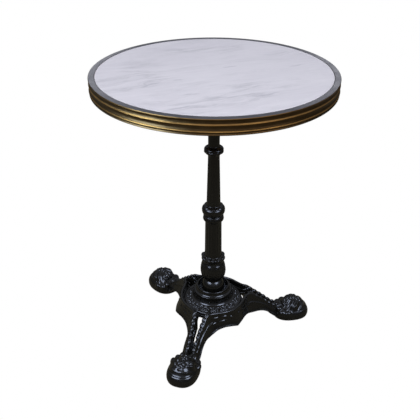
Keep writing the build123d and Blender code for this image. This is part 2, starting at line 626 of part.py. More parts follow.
with BuildPart() as tripod_base:
    # Flared strap wall
    for share, mode in ((1, Mode.ADD), (STRAP_INNER_SHARE, Mode.SUBTRACT)):
        strap_foot = strap_outline(STRAP_FOOT, STRAP_FOOT_CURVE, STRAP_FOOT_END, share)
        strap_top = strap_outline(STRAP_TOP, STRAP_TOP_CURVE, STRAP_TOP_END, share)
        loft(sections=[strap_foot, strap_top], ruled=True, mode=mode)
    # Legs and paws, cast hollow from below
    with PolarLocations(0, LEG_COUNT, start_angle=FRONT_LEG_ANGLE):
        add(leg_body.part)
    with PolarLocations(0, LEG_COUNT, start_angle=FRONT_LEG_ANGLE):
        add(leg_hollow.part, mode=Mode.SUBTRACT)
    with PolarLocations(0, LEG_COUNT, start_angle=FRONT_LEG_ANGLE):
        add(paw.part)
    with PolarLocations(0, LEG_COUNT, start_angle=FRONT_LEG_ANGLE):
        add(paw_hollow.part, mode=Mode.SUBTRACT)
    # Floor plate and hub that the rosette stands on
    drop = (STRAP_TOP - ROSETTE_FOOT) / (STRAP_TOP - STRAP_FOOT)
    plate_curve = [
        (top[0] + drop * (foot[0] - top[0]), top[1] + drop * (foot[1] - top[1]))
        for top, foot in zip(STRAP_TOP_CURVE, STRAP_FOOT_CURVE)
    ]
    with BuildSketch(Plane.XY.offset(ROSETTE_FOOT)):
        add(strap_outline(ROSETTE_FOOT, plate_curve, STRAP_TOP_END, PLATE_SHARE))
    extrude(amount=-FLOOR_PLATE_THICKNESS)
    # Pointed slot between the two ribs of each leg
    with BuildSketch():
        for angle in LEG_ANGLES:
            with BuildLine():
                Polyline(
                    turned((LEG_OPENING_NEAR, LEG_OPENING_HALF_NEAR), angle),
                    turned((LEG_OPENING_FAR, LEG_OPENING_HALF_FAR), angle),
                    turned((LEG_OPENING_FAR, -LEG_OPENING_HALF_FAR), angle),
                    turned((LEG_OPENING_NEAR, -LEG_OPENING_HALF_NEAR), angle),
                    close=True,
                )
            make_face()
    extrude(amount=STRAP_TOP + CUT_MARGIN, mode=Mode.SUBTRACT)
    with BuildSketch(Plane.XY.offset(ROSETTE_FOOT)):
        Circle(HUB_RADIUS)
    extrude(amount=HUB_FOOT - ROSETTE_FOOT)
    with BuildSketch(Plane.XY.offset(HUB_FOOT)):
        Circle(ROD_BORE_RADIUS)
    extrude(amount=ROSETTE_FOOT - HUB_FOOT, mode=Mode.SUBTRACT)
    # Tapped bosses for the levelling glides
    with BuildSketch(Plane.XY.offset(GLIDE_BOSS_FOOT)):
        with PolarLocations(PAW_REACH, LEG_COUNT, start_angle=FRONT_LEG_ANGLE):
            Circle(GLIDE_BOSS_RADIUS)
    extrude(amount=STUD_TOP - GLIDE_BOSS_FOOT)
    with BuildSketch(Plane.XY.offset(GLIDE_BOSS_FOOT)):
        with PolarLocations(PAW_REACH, LEG_COUNT, start_angle=FRONT_LEG_ANGLE):
            Circle(STUD_RADIUS + THREAD_CLEARANCE)
    extrude(amount=STUD_TOP + STUD_HOLE_SPARE - GLIDE_BOSS_FOOT, mode=Mode.SUBTRACT)
finish_piece(tripod_base, "tripod_base")

# ---- levelling glides --------------------------------------------------------------------------
for name, angle in zip(LEG_NAMES, LEG_ANGLES):
    glide_axis = turned((PAW_REACH, 0), angle)
    with BuildPart() as glide_stud:
        with BuildSketch(Plane.XY.offset(PAD_FOOT + PAD_THICKNESS)):
            with Locations(glide_axis):
                RegularPolygon(STUD_FLANGE_RADIUS, 6)
        extrude(amount=STUD_FLANGE_THICKNESS)
        with BuildSketch(Plane.XY.offset(PAD_FOOT + PAD_THICKNESS)):
            with Locations(glide_axis):
                Circle(STUD_RADIUS)
        extrude(amount=STUD_TOP - PAD_FOOT - PAD_THICKNESS)
        chamfer(glide_stud.edges().filter_by(GeomType.CIRCLE).sort_by(Axis.Z)[-1], length=STUD_CHAMFER)
    finish_piece(glide_stud, f"glide_stud_{name}")

    with BuildPart() as glide_pad:
        with BuildSketch(Plane.XY.offset(PAD_FOOT)):
            with Locations(glide_axis):
                Circle(PAD_RADIUS)
        extrude(amount=PAD_THICKNESS)
        fillet(glide_pad.edges().group_by(Axis.Z)[0], radius=PAD_ROUNDING)
    finish_piece(glide_pad, f"glide_pad_{name}")
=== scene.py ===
"""Bistro table: marble top in an antique-brass rim on an ornate gloss-black cast-iron base.

Sizes are millimetres until a mesh is made. The stage, the lights and the camera are placed in metres.
"""

import json
import math

import bpy
import numpy as np
import openvdb as vdb
from mathutils import Euler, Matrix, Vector

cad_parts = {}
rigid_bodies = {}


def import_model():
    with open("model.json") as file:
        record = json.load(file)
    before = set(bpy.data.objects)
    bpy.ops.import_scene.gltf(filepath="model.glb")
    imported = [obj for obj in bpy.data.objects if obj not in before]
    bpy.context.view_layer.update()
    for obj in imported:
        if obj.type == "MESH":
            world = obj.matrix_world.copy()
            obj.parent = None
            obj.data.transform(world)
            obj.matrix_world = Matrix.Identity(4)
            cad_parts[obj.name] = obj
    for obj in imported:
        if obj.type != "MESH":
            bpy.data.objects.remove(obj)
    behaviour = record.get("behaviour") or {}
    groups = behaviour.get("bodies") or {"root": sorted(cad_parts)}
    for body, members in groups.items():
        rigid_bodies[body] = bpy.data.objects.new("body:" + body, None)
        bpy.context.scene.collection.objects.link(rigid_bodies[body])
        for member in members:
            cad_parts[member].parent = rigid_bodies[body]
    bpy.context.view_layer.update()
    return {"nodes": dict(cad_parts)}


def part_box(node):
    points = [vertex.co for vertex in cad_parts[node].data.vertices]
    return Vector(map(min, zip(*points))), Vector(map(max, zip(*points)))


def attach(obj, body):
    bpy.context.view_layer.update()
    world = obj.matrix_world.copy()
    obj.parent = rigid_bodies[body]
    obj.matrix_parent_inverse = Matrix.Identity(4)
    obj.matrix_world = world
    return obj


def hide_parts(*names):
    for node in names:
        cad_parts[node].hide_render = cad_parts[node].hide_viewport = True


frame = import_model()

MM = 0.001
BODY = "table"
LEG_ANGLES = (-90.0, 30.0, 150.0)
LEG_NAMES = ("front", "right", "left")


def cad_box_of(node):
    """The lowest and highest corner of a CAD node, in millimetres to a tenth."""
    return [[round(v / MM, 1) for v in corner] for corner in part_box(node)]


rim_low, rim_high = cad_box_of("brass_rim")
TOP_HEIGHT = rim_high[2]
TOP_RADIUS = rim_high[0]
RIM_FOOT = rim_low[2]
RIM_BEAD_DROPS = (14.0, 29.0)        # the beads' heights, down from the top


# ---- materials ----
class Nodes:
    """A small helper that writes one Principled material as a chain of calls."""

    def __init__(self, name):
        self.material = bpy.data.materials.new(name)
        self.material.use_nodes = True
        self.tree = self.material.node_tree
        self.tree.nodes.clear()
        self.shader = self.add("BsdfPrincipled")
        output = self.add("OutputMaterial")
        self.link(self.shader.outputs[0], output.inputs["Surface"])
        self.position = self.add("NewGeometry").outputs["Position"]

    def add(self, kind, **settings):
        node = self.tree.nodes.new("ShaderNode" + kind)
        for key, value in settings.items():
            setattr(node, key, value)
        return node

    def link(self, source, target):
        self.tree.links.new(source, target)

    def put(self, value, socket):
        """Links a socket, or sets a plain number or colour."""
        if isinstance(value, bpy.types.NodeSocket):
            self.link(value, socket)
        else:
            socket.default_value = value

    def math(self, operation, a, b=0.0, clamp=False):
        node = self.add("Math", operation=operation, use_clamp=clamp)
        self.put(a, node.inputs[0])
        self.put(b, node.inputs[1])
        return node.outputs[0]

    def times(self, a, b):
        return self.math("MULTIPLY", a, b)

    def split(self, vector):
        node = self.add("SeparateXYZ")
        self.link(vector, node.inputs[0])
        return node.outputs

    def mapping(self, vector, rotation=(0, 0, 0), scale=(1, 1, 1), location=(0, 0, 0)):
        node = self.add("Mapping")
        self.put(vector, node.inputs["Vector"])
        node.inputs["Rotation"].default_value = rotation
        node.inputs["Scale"].default_value = scale
        node.inputs["Location"].default_value = location
        return node.outputs[0]

    def noise(self, vector, scale, detail=4.0, roughness=0.5, distortion=0.0, output="Fac"):
        node = self.add("TexNoise")
        self.put(vector, node.inputs["Vector"])
        node.inputs["Scale"].default_value = scale
        node.inputs["Detail"].default_value = detail
        node.inputs["Roughness"].default_value = roughness
        node.inputs["Distortion"].default_value = distortion
        return node.outputs[output]

    def ramp(self, value, stops, interpolation="LINEAR"):
        """stops: (position, grey level or colour) pairs."""
        node = self.add("ValToRGB")
        node.color_ramp.interpolation = interpolation
        elements = node.color_ramp.elements
        while len(elements) < len(stops):
            elements.new(0.5)
        for element, (position, colour) in zip(elements, stops):
            element.position = position
            if not isinstance(colour, (tuple, list)):
                colour = (colour, colour, colour)
            element.color = (*colour, 1.0)
        self.put(value, node.inputs[0])
        return node.outputs[0]

    def mix(self, factor, a, b, blend="MIX"):
        node = self.add("Mix", data_type="RGBA", blend_type=blend)
        self.put(factor, node.inputs[0])
        for colour, socket in ((a, node.inputs[6]), (b, node.inputs[7])):
            if isinstance(colour, tuple) and len(colour) == 3:
                colour = (*colour, 1.0)
            self.put(colour, socket)
        return node.outputs[2]

    def bump(self, height, distance, strength=1.0, normal=None):
        """distance is the height of a full step, in metres."""
        node = self.add("Bump")
        node.inputs["Strength"].default_value = strength
        node.inputs["Distance"].default_value = distance
        self.put(height, node.inputs["Height"])
        if normal is not None:
            self.link(normal, node.inputs["Normal"])
        return node.outputs[0]

    def set(self, **values):
        """Sets the shader's inputs; an underscore in a name stands for a space."""
        for key, value in values.items():
            if isinstance(value, tuple) and len(value) == 3:
                value = (*value, 1.0)
            self.put(value, self.shader.inputs[key.replace("_", " ")])
        return self.material


def black_iron():
    """Gloss-black stove enamel over cast iron: orange peel, slow casting waves, dust in the hollows."""
    n = Nodes("black_iron")
    waves = n.noise(n.position, 55.0, 3.0)
    peel = n.noise(n.position, 620.0, 2.0)
    grain = n.noise(n.position, 210.0, 5.0, 0.6)
    patches = n.noise(n.position, 14.0, 4.0)
    hollows = n.ramp(n.add("NewGeometry").outputs["Pointiness"], [(0.40, 1.0), (0.49, 0.0)])
    dusty = n.times(hollows, n.ramp(grain, [(0.35, 0.25), (0.7, 1.0)]))
    paint = n.mix(patches, (0.0068, 0.0066, 0.0060), (0.0098, 0.0095, 0.0080))
    colour = n.mix(n.times(dusty, 0.5), paint, (0.020, 0.018, 0.012))
    roughness = n.ramp(n.noise(n.position, 38.0, 5.0, 0.62), [(0.3, 0.16), (0.7, 0.24)])
    roughness = n.math("ADD", roughness, n.times(dusty, 0.25))
    normal = n.bump(peel, 0.00004, 0.4)
    normal = n.bump(grain, 0.0001, 0.3, normal)
    normal = n.bump(waves, 0.0012, 0.25, normal)
    return n.set(
        Base_Color=colour, Roughness=roughness, Normal=normal,
        Specular_IOR_Level=0.5, Coat_Weight=0.15, Coat_Roughness=0.09,
    )


def antique_brass():
    """Rolled brass: dark patina, rubbed bright on the beads and the edge, and on the top ring a bluish grey
    that is a painted reflection of the sky on its upward face.
    """
    n = Nodes("antique_brass")
    height = n.split(n.position)["Z"]
    rubbed_reach, edge_reach, ring_depth = 3.2 * MM, 6 * MM, 0.35 * MM
    rubbed = None
    top = TOP_HEIGHT * MM
    for drop in RIM_BEAD_DROPS:
        off = n.math("ABSOLUTE", n.math("SUBTRACT", height, top - drop * MM))
        line = n.ramp(n.times(off, 1 / rubbed_reach), [(0.15, 1.0), (1.0, 0.0)], "EASE")
        rubbed = line if rubbed is None else n.math("MAXIMUM", rubbed, line)
    below = n.times(n.math("SUBTRACT", top, height), 1 / edge_reach)
    edge = n.ramp(below, [(0.18, 1.0), (0.55, 0.0)])
    ring = n.math("GREATER_THAN", height, top - ring_depth)
    streaks = n.noise(n.mapping(n.position, scale=(1, 1, 14)), 26.0, 6.0, 0.62)
    worn = n.ramp(streaks, [(0.32, 0.45), (0.66, 1.0)])
    rubbed = n.times(n.math("MAXIMUM", rubbed, n.times(edge, 0.45)), worn)
    patina = n.mix(n.noise(n.position, 45.0, 5.0, 0.6), (0.070, 0.043, 0.020), (0.145, 0.088, 0.036))
    side = n.mix(rubbed, patina, (0.60, 0.33, 0.10))
    # Painted reflection: the upward-facing top ring is coloured a bluish grey for the sky it reflects, in
    # place of the brass colour
    ring_sky_reflection = n.mix(streaks, (0.185, 0.183, 0.199), (0.255, 0.252, 0.269))
    scratches = n.noise(n.position, 900.0, 2.0)
    normal = n.bump(scratches, 0.00003, 0.4)
    normal = n.bump(n.noise(n.position, 30.0, 2.0), 0.0007, 0.25, normal)
    return n.set(
        Base_Color=n.mix(ring, side, ring_sky_reflection), Metallic=0.9,
        Roughness=n.ramp(streaks, [(0.3, 0.27), (0.7, 0.42)]), Normal=normal,
    )


VEIN_ANGLE = math.radians(40.0)      # the veins' run, in plan
STREAK_HALF_WIDTH = 5.0
STREAKS = (                          # the strongest veins: centre x and y, half length, run in degrees
    (80, -155, 38, 34), (4, -166, 28, 33), (23, 50, 21, 41), (173, 113, 24, 39),
    (-109, -141, 34, 60), (-61, -87, 14, 34), (14, -247, 49, 44), (161, -109, 38, 47),
)


def streak_mask(n, vector, x, y, half, run):
    """A soft spindle along one vein."""
    turn = math.radians(-run)
    c, s = math.cos(turn), math.sin(turn)
    centre = (-(x * c - y * s) * MM, -(x * s + y * c) * MM, 0)
    local = n.split(n.mapping(vector, rotation=(0, 0, turn), location=centre))
    across = n.times(n.math("ABSOLUTE", local["Y"]), 1 / (STREAK_HALF_WIDTH * MM))
    along = n.times(n.math("ABSOLUTE", local["X"]), 1 / (half * MM))
    across = n.ramp(across, [(0.1, 1.0), (1.0, 0.0)], "EASE")
    along = n.ramp(along, [(0.35, 1.0), (1.0, 0.0)], "EASE")
    return n.times(across, along)


def marble():
    """White-grey marble: soft clouds, a few long broken veins and fine crystal mottling under a polish."""
    n = Nodes("marble")
    along = n.mapping(n.position, rotation=(0, 0, -VEIN_ANGLE))
    # The veins' pattern is warped by a slow noise, so that they wander and break
    warp = n.noise(n.mapping(along, scale=(1.0, 2.2, 1.0)), 5.0, 5.0, output="Color")
    shifted = n.add("MixRGB", blend_type="ADD")
    shifted.inputs[0].default_value = 0.11
    n.link(along, shifted.inputs[1])
    n.link(warp, shifted.inputs[2])
    warped = shifted.outputs[0]
    clouds = n.noise(n.mapping(warped, scale=(1.0, 3.2, 1.0)), 4.2, 6.0, 0.58)
    streak = n.noise(n.mapping(warped, scale=(1.0, 7.5, 1.0), location=(0.31, 0.0, 0.0)), 3.4, 8.0, 0.6)
    crest = n.math("ABSOLUTE", n.math("SUBTRACT", streak, 0.5))
    vein = n.ramp(n.times(crest, 9.0), [(0.0, 1.0), (0.35, 0.35), (1.0, 0.0)], "EASE")
    gate = n.noise(n.mapping(along, scale=(1.0, 1.6, 1.0), location=(1.7, 0.4, 0)), 5.5, 3.0)
    vein = n.times(vein, n.ramp(gate, [(0.46, 0.0), (0.66, 1.0)]))
    fine = n.noise(n.mapping(warped, scale=(1.0, 11.0, 1.0), location=(0.9, 0.2, 0.0)), 9.0, 6.0, 0.65)
    fine = n.math("ABSOLUTE", n.math("SUBTRACT", fine, 0.5))
    hair = n.ramp(n.times(fine, 14.0), [(0.0, 1.0), (1.0, 0.0)])
    mottle = n.noise(n.position, 260.0, 3.0, 0.6)
    base = n.mix(clouds, (0.660, 0.645, 0.690), (0.815, 0.800, 0.830))
    base = n.mix(n.times(mottle, 0.10), base, (0.50, 0.50, 0.54))
    base = n.mix(n.times(hair, 0.10), base, (0.40, 0.41, 0.45))
    base = n.mix(n.times(vein, 0.40), base, (0.36, 0.36, 0.40))
    # The strongest streaks, on slightly rippled coordinates
    sway = 0.03
    wavy = n.add("VectorMath", operation="MULTIPLY_ADD")
    n.link(n.noise(n.position, 22.0, 6.0, output="Color"), wavy.inputs[0])
    wavy.inputs[1].default_value = (sway, sway, 0.0)
    n.link(n.mapping(n.position, location=(-sway / 2, -sway / 2, 0)), wavy.inputs[2])
    strongest = 0.0
    for entry in STREAKS:
        strongest = n.math("MAXIMUM", streak_mask(n, wavy.outputs[0], *entry), strongest)
    base = n.mix(n.times(strongest, 0.42), base, (0.36, 0.36, 0.42))
    normal = n.bump(mottle, 0.00002, 0.3)
    return n.set(
        Base_Color=base, Roughness=n.ramp(mottle, [(0.3, 0.13), (0.8, 0.2)]), Normal=normal,
        Coat_Weight=0.3, Coat_Roughness=0.04, Subsurface_Weight=0.06,
        Subsurface_Radius=Vector((0.004, 0.004, 0.004)),
    )


def plywood():
    """Birch plywood: long grain on the face, stacked plies on the edge."""
    n = Nodes("plywood")
    grain = n.noise(n.mapping(n.position, scale=(1.0, 16.0, 1.0)), 14.0, 8.0, 0.65, 0.6)
    rings = n.noise(n.mapping(n.position, scale=(1.0, 5.0, 1.0)), 7.0, 3.0, 0.5, 1.6)
    ply_pair = 3.2 * MM
    wave = n.math("SINE", n.times(n.split(n.position)["Z"], 2 * math.pi / ply_pair))
    ply = n.math("GREATER_THAN", wave, 0.0)
    face = n.mix(n.ramp(grain, [(0.35, 0.0), (0.65, 1.0)]), (0.40, 0.27, 0.15), (0.60, 0.44, 0.27))
    figure = n.ramp(rings, [(0.47, 0.0), (0.5, 1.0), (0.53, 0.0)])
    face = n.mix(n.times(figure, 0.4), face, (0.30, 0.18, 0.09))
    colour = n.mix(n.times(ply, 0.18), face, (0.26, 0.16, 0.08))
    return n.set(Base_Color=colour, Roughness=0.72, Normal=n.bump(grain, 0.0003, 0.5))


def zinc_steel():
    """Zinc-plated steel fasteners: mottled spangle and faint yellow cast."""
    n = Nodes("zinc_steel")
    spangle = n.noise(n.position, 320.0, 3.0, 0.6)
    colour = n.mix(spangle, (0.50, 0.51, 0.50), (0.68, 0.67, 0.62))
    return n.set(
        Base_Color=colour, Metallic=1.0, Roughness=n.ramp(spangle, [(0.3, 0.28), (0.7, 0.45)]),
        Normal=n.bump(n.noise(n.position, 1500.0, 2.0), 0.00004, 0.4),
    )


def black_nylon():
    """Moulded black nylon with a fine spark-eroded texture and floor scuffs."""
    n = Nodes("black_nylon")
    texture = n.noise(n.position, 1800.0, 2.0)
    scuff = n.ramp(n.noise(n.position, 120.0, 6.0, 0.7), [(0.55, 0.0), (0.75, 1.0)])
    colour = n.mix(scuff, (0.018, 0.018, 0.018), (0.06, 0.057, 0.052))
    return n.set(
        Base_Color=colour, Roughness=n.ramp(scuff, [(0.0, 0.5), (1.0, 0.75)]),
        Normal=n.bump(texture, 0.00008, 0.6),
    )


# ---- mesh helpers ----
def piece(name, verts_mm, faces, material, replaces):
    """Makes a smooth-shaded mesh that stands for CAD nodes and rides on the table's body."""
    mesh = bpy.data.meshes.new(name)
    verts = np.asarray(verts_mm, np.float64) * MM
    faces = np.asarray(faces, np.int32)
    corners = faces.shape[1]
    mesh.vertices.add(len(verts))
    mesh.vertices.foreach_set("co", verts.astype(np.float32).ravel())
    mesh.loops.add(faces.size)
    mesh.loops.foreach_set("vertex_index", faces.ravel())
    mesh.polygons.add(len(faces))
    mesh.polygons.foreach_set("loop_start", np.arange(0, faces.size, corners, dtype=np.int32))
    mesh.polygons.foreach_set("use_smooth", np.ones(len(faces), bool))
    mesh.update(calc_edges=True)
    mesh.validate()
    mesh.materials.append(material)
    obj = bpy.data.objects.new(name, mesh)
    bpy.context.scene.collection.objects.link(obj)
    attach(obj, BODY)
    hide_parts(*replaces)
    return obj


def straight(*points, spacing=4.0):
    """Points along straight runs, about spacing apart, without the last one."""
    out = []
    for a, b in zip(points, points[1:]):
        a, b = np.array(a, float), np.array(b, float)
        count = max(1, math.ceil(np.linalg.norm(b - a) / spacing))
        out += [a + (b - a) * i / count for i in range(count)]
    return out


def spans(points):
    """Each span of a Catmull-Rom curve as its two ends with the points before and after them."""
    p = np.array(points, float)
    p = np.vstack([2 * p[0] - p[1], p, 2 * p[-1] - p[-2]])
    return zip(p, p[1:], p[2:], p[3:])


def spline(a, b, c, d, t):
    """The curve's point a share t of the way from b to c."""
    square, cube = 2 * a - 5 * b + 4 * c - d, 3 * b - a - 3 * c + d
    return 0.5 * (2 * b + (c - a) * t + square * t * t + cube * t**3)


def through(*points, spacing=1.1):
    """A smooth curve through the points, about spacing apart, without the last one."""
    out = []
    for a, b, c, d in spans(points):
        count = max(1, math.ceil(np.linalg.norm(c - b) / spacing))
        out += [spline(a, b, c, d, i / count) for i in range(count)]
    return out


def lathe(name, outline, relief, segments, material, replaces):
    """Turns a closed outline (radius, height) about Z; relief(radius, height, angle) stands proud of it."""
    outline = np.array(outline)
    before, after = np.roll(outline, 1, axis=0), np.roll(outline, -1, axis=0)
    tangent = after - before
    tangent /= np.maximum(np.linalg.norm(tangent, axis=1, keepdims=True), 1e-9)
    normal = np.stack([tangent[:, 1], -tangent[:, 0]], axis=1)
    angle = np.arange(segments) * 2 * math.pi / segments
    r, z = outline[:, :1], outline[:, 1:]
    proud = relief(r, z, angle[None, :]) if relief else np.zeros((len(outline), segments))
    radius = r + normal[:, :1] * proud
    height = z + normal[:, 1:] * proud
    verts = np.stack([radius * np.cos(angle), radius * np.sin(angle), height], axis=-1).reshape(-1, 3)
    i, j = np.meshgrid(np.arange(len(outline)), np.arange(segments), indexing="ij")
    i2, j2 = (i + 1) % len(outline), (j + 1) % segments
    faces = np.stack([i * segments + j, i * segments + j2, i2 * segments + j2, i2 * segments + j], axis=-1)
    return piece(name, verts, faces.reshape(-1, 4), material, replaces)


def step(x, low, high):
    """Smooth rise from 0 at low to 1 at high."""
    t = np.clip((x - low) / (high - low), 0, 1)
    return t * t * (3 - 2 * t)


def window(x, low, high, soft):
    """1 between low and high, fading to 0 outside over soft."""
    return step(x, low - soft, low) * (1 - step(x, high, high + soft))


def ridge(x, width):
    """A rounded ridge 1 high at x = 0."""
    return np.exp(-((x / width) ** 2))


def sector(angle, count, phase=0.0):
    """Angle from the middle of the nearest of count equal sectors, in radians."""
    pitch = 2 * math.pi / count
    return (angle - phase + pitch / 2) % pitch - pitch / 2


# ---- the top ----
RING_INNER = 284.5                   # inner radius of the flat top ring
BAND_INNER, LIP_INNER = 296.0, 280.0
SHEET = 1.2                          # thickness of the brass

IRON = black_iron()
BRASS = antique_brass()


def arc(centre, radius, start, end, count):
    """Points of a circular arc in the outline's plane, angles in degrees, without the last one."""
    angles = [math.radians(start + (end - start) * i / count) for i in range(count)]
    return [np.array((centre[0] + radius * math.cos(a), centre[1] + radius * math.sin(a))) for a in angles]


def build_rim():
    """A rolled band: three hollows between two raised beads, a flat top ring and a lip below."""
    edge, hollow = TOP_RADIUS - 1.0, TOP_RADIUS - 2.3
    foot_round, top_round, ring_round = 1.6, 1.7, 0.7
    bead_root, bead_proud, bead_half = edge - 0.6, 1.0, 1.9
    outline = arc((edge - foot_round, RIM_FOOT + foot_round), foot_round, -90, 0, 4)
    lower = RIM_FOOT + foot_round
    for drop in reversed(RIM_BEAD_DROPS):
        bead = TOP_HEIGHT - drop
        bead_low, bead_high = (bead_root, bead - bead_half), (bead_root, bead + bead_half)
        outline += through((edge, lower), (hollow, (lower + bead) / 2 - 1), bead_low, spacing=1.0)
        outline += through(bead_low, (edge + bead_proud, bead), bead_high, spacing=0.6)
        lower = bead + bead_half
    last_hollow = (hollow, (lower + TOP_HEIGHT) / 2 - 1)
    outline += through((bead_root, lower), last_hollow, (edge, TOP_HEIGHT - 2 * top_round), spacing=1.0)
    outline += arc((TOP_RADIUS - top_round, TOP_HEIGHT - top_round), top_round, -60, 90, 10)
    ring_edge, under, floor = RING_INNER + ring_round, TOP_HEIGHT - SHEET, RIM_FOOT + SHEET
    outline += straight((TOP_RADIUS - top_round, TOP_HEIGHT), (ring_edge, TOP_HEIGHT), spacing=3)
    outline += arc((ring_edge, TOP_HEIGHT - ring_round), ring_round, 90, 180, 3)
    ring_low = TOP_HEIGHT - ring_round
    outline += straight((RING_INNER, ring_low), (RING_INNER, under), (BAND_INNER, under), spacing=6)
    outline += straight(
        (BAND_INNER, under), (BAND_INNER, floor), (LIP_INNER, floor), (LIP_INNER, RIM_FOOT), spacing=12,
    )
    outline += straight((LIP_INNER, RIM_FOOT), (edge - foot_round, RIM_FOOT), spacing=8)
    lathe("rim_band", outline, None, 320, BRASS, ["brass_rim"])


# ---- the column ----
FRONT = math.radians(LEG_ANGLES[0])  # the ornament starts from the front leg
SEGMENTS = 256
BORE = 7.0
SPIGOT = 11.0                        # radius of the spigots that join the castings
BALL_CENTRE, BALL_RADIUS = 134.0, 31.5
BALL_FOOT, BALL_TOP = 108.0, 156.0
CUP_FOOT, CUP_TOP = 161.0, 214.6
SHAFT_FOOT, SHAFT_TOP = 246.0, 345.0
JOINT = 366.0                        # where the column's two halves meet
TAPER_FOOT, TAPER_TOP = 400.0, 537.0
COLUMN_TOP = 698.0
FLUTES, PETALS, REEDS, BEADS = 16, 8, 40, 28
KNOP_LEAVES, COLLAR_LOBES = 10, 12


def leaf_veins(across, along, pitch, lean):
    """Slanting strokes either side of a leaf's midrib."""
    return 0.5 + 0.5 * np.cos(2 * math.pi * (along - lean * np.abs(across)) / pitch)


def flutes(z, angle, low, high, depth):
    """Shallow flutes with rounded stops."""
    groove = (0.5 + 0.5 * np.cos(FLUTES * (angle - FRONT))) ** 1.4
    return -depth * groove * window(z, low, high, 3.0)


def lobes(angle, count):
    """Angle from the nearest lobe's middle, and the lobe's height: 1 at its middle, 0 between two."""
    away = sector(angle, count, FRONT)
    return away, np.cos(away * count / 2) ** 2


def lower_relief(r, z, angle):
    """Flutes on the shaft, petals on the collar, leaves and reeds on the cup, and a bead row below it."""
    proud = flutes(z, angle, SHAFT_FOOT + 6, SHAFT_TOP - 8, 1.1)
    # Petal collar: the tips curl out and droop a little
    away, tip = lobes(angle, PETALS)
    across = away * r
    petals = tip ** 0.8 - 1.5 * (1 - tip) ** 2 + 0.4 * ridge(across, 1.8)
    proud = proud + petals * window(z, 226, 235, 3.0) * window(r, 26, 36, 3)
    # Egg-shaped cup: broad leaves with a fine midrib and faint slanting veins, over reeds
    widest, leaf_foot, leaf_length = 12.4, 156.0, 62.0
    width = widest * np.sin(math.pi * np.clip((z - leaf_foot) / leaf_length, 0, 1)) ** 0.6
    leaf = step(width - np.abs(across), 0.0, 2.4)
    veins = leaf_veins(across, z, 8.0, 0.9) * (1 - ridge(across, 1.8)) * ridge(across, 9)
    reeds = 0.45 * np.cos(REEDS * (angle - FRONT))
    leaves = 0.8 * leaf * (1 + veins) + ridge(across, 1.7) + reeds - 0.9
    proud = proud + leaves * window(z, CUP_FOOT + 5, CUP_TOP - 5.6, 4)
    # Small bead row where the cup stands on the ball
    beads = np.abs(np.cos(angle * BEADS / 2))
    return proud + 0.6 * beads ** 0.7 * ridge(z - (CUP_FOOT - 2), 1.7)


def upper_relief(r, z, angle):
    """Flutes on the taper, leaf tips on the knop's shoulder, and gadroons on the collar."""
    proud = flutes(z, angle, TAPER_FOOT + 10, TAPER_TOP - 6, 0.9)
    # Leaf tips with a dark line under them
    _, tip = lobes(angle, KNOP_LEAVES)
    edge = 390.6 + 2.0 * (1 - tip)
    leaf = step(z, edge - 1.0, edge + 1.0) * window(z, 389, 394.5, 1.5)
    proud = proud + leaf * (0.7 * tip ** 0.6 + 0.3)
    proud = proud - 0.4 * ridge(z - edge + 1.4, 0.9) * window(z, 388, 393, 1.5)
    # Gadroons below a dark scalloped line
    _, lobe = lobes(angle, COLLAR_LOBES)
    scallop = 555.0 + 2.0 * (1 - lobe)
    proud = proud + (1.5 * lobe ** 0.6 - 0.7) * window(z, 545, 553, 2.5)
    return proud - 1.7 * ridge(z - scallop, 1.1) * window(r, 20, 26, 2)


def build_column():
    low, high = (math.degrees(math.asin((z - BALL_CENTRE) / BALL_RADIUS)) for z in (BALL_FOOT, BALL_TOP))
    cup_foot, cup_top = (25.3, CUP_FOOT), (28.4, CUP_TOP)
    petal_edge, shaft_foot, shaft_top = (33.2, 231.4), (23.4, SHAFT_FOOT), (22.3, SHAFT_TOP)
    bead, joint = (26.6, 361.2), (24.8, JOINT)
    outline = straight((BORE, 100), (SPIGOT, 100), (SPIGOT, BALL_FOOT), (17.8, BALL_FOOT))
    outline += arc((0, BALL_CENTRE), BALL_RADIUS, low, high, 70)
    outline += through((22.6, BALL_TOP), (24.4, 157.3), (25.2, 159), cup_foot)
    outline += through(
        cup_foot, (27.6, 165.2), (32.8, 174), (34.8, 184), (35.0, 192), (33.6, 202.5), (31.0, 210), cup_top,
    )
    outline += through(cup_top, (27.2, 218.4), (27.8, 222.0), (30.6, 225.0), (32.6, 228.4), petal_edge)
    outline += through(petal_edge, (32.2, 233.6), (27.8, 235.4), (24.6, 236.8), (23.6, 239.2), shaft_foot)
    outline += straight(shaft_foot, shaft_top, spacing=3)
    outline += through(
        shaft_top, (22.8, 347.2), (25.7, 349.8), (27.7, 353.0), (28.1, 356.6), (27.2, 360), bead,
    )
    outline += through(bead, (27.2, 362.4), (27.2, 364), (26.2, 365.3), joint, spacing=0.7)
    outline += straight(joint, (SPIGOT, JOINT), (SPIGOT, JOINT + 8), (BORE, JOINT + 8), spacing=8)
    outline += straight((BORE, JOINT + 8), (BORE, 100), spacing=30)
    lathe("column_lower", outline, lower_relief, SEGMENTS, IRON, ["lower_column"])

    socket, socket_top, seat = 11.2, 375.2, JOINT + 0.1
    joint, taper_foot, taper_top = (24.8, seat), (18.7, TAPER_FOOT), (15.2, TAPER_TOP)
    outline = straight((BORE, socket_top), (socket, socket_top), (socket, seat), joint, spacing=8)
    outline += through(
        joint, (25.4, 367.4), (27.4, 370.4), (30.0, 375), (31.0, 380.5), (30.4, 387), (27.4, 391.4),
        (22.4, 394.4), (19.4, 396.2), taper_foot,
    )
    outline += straight(taper_foot, taper_top, spacing=3)
    outline += through(
        taper_top, (15.6, 541), (18.2, 545.8), (22.3, 548.6), (24.8, 552.2), (25.4, 556), (24.8, 560),
        (22.0, 563.2), (17.2, 564.9), (15.3, 566), (14.95, 569),
    )
    outline += straight(
        (14.95, 569), (14.9, COLUMN_TOP - 8), (SPIGOT, COLUMN_TOP - 8), (SPIGOT, COLUMN_TOP),
        (BORE, COLUMN_TOP), spacing=8,
    )
    outline += straight((BORE, COLUMN_TOP), (BORE, socket_top), spacing=30)
    lathe("column_upper", outline, upper_relief, SEGMENTS, IRON, ["upper_column"])


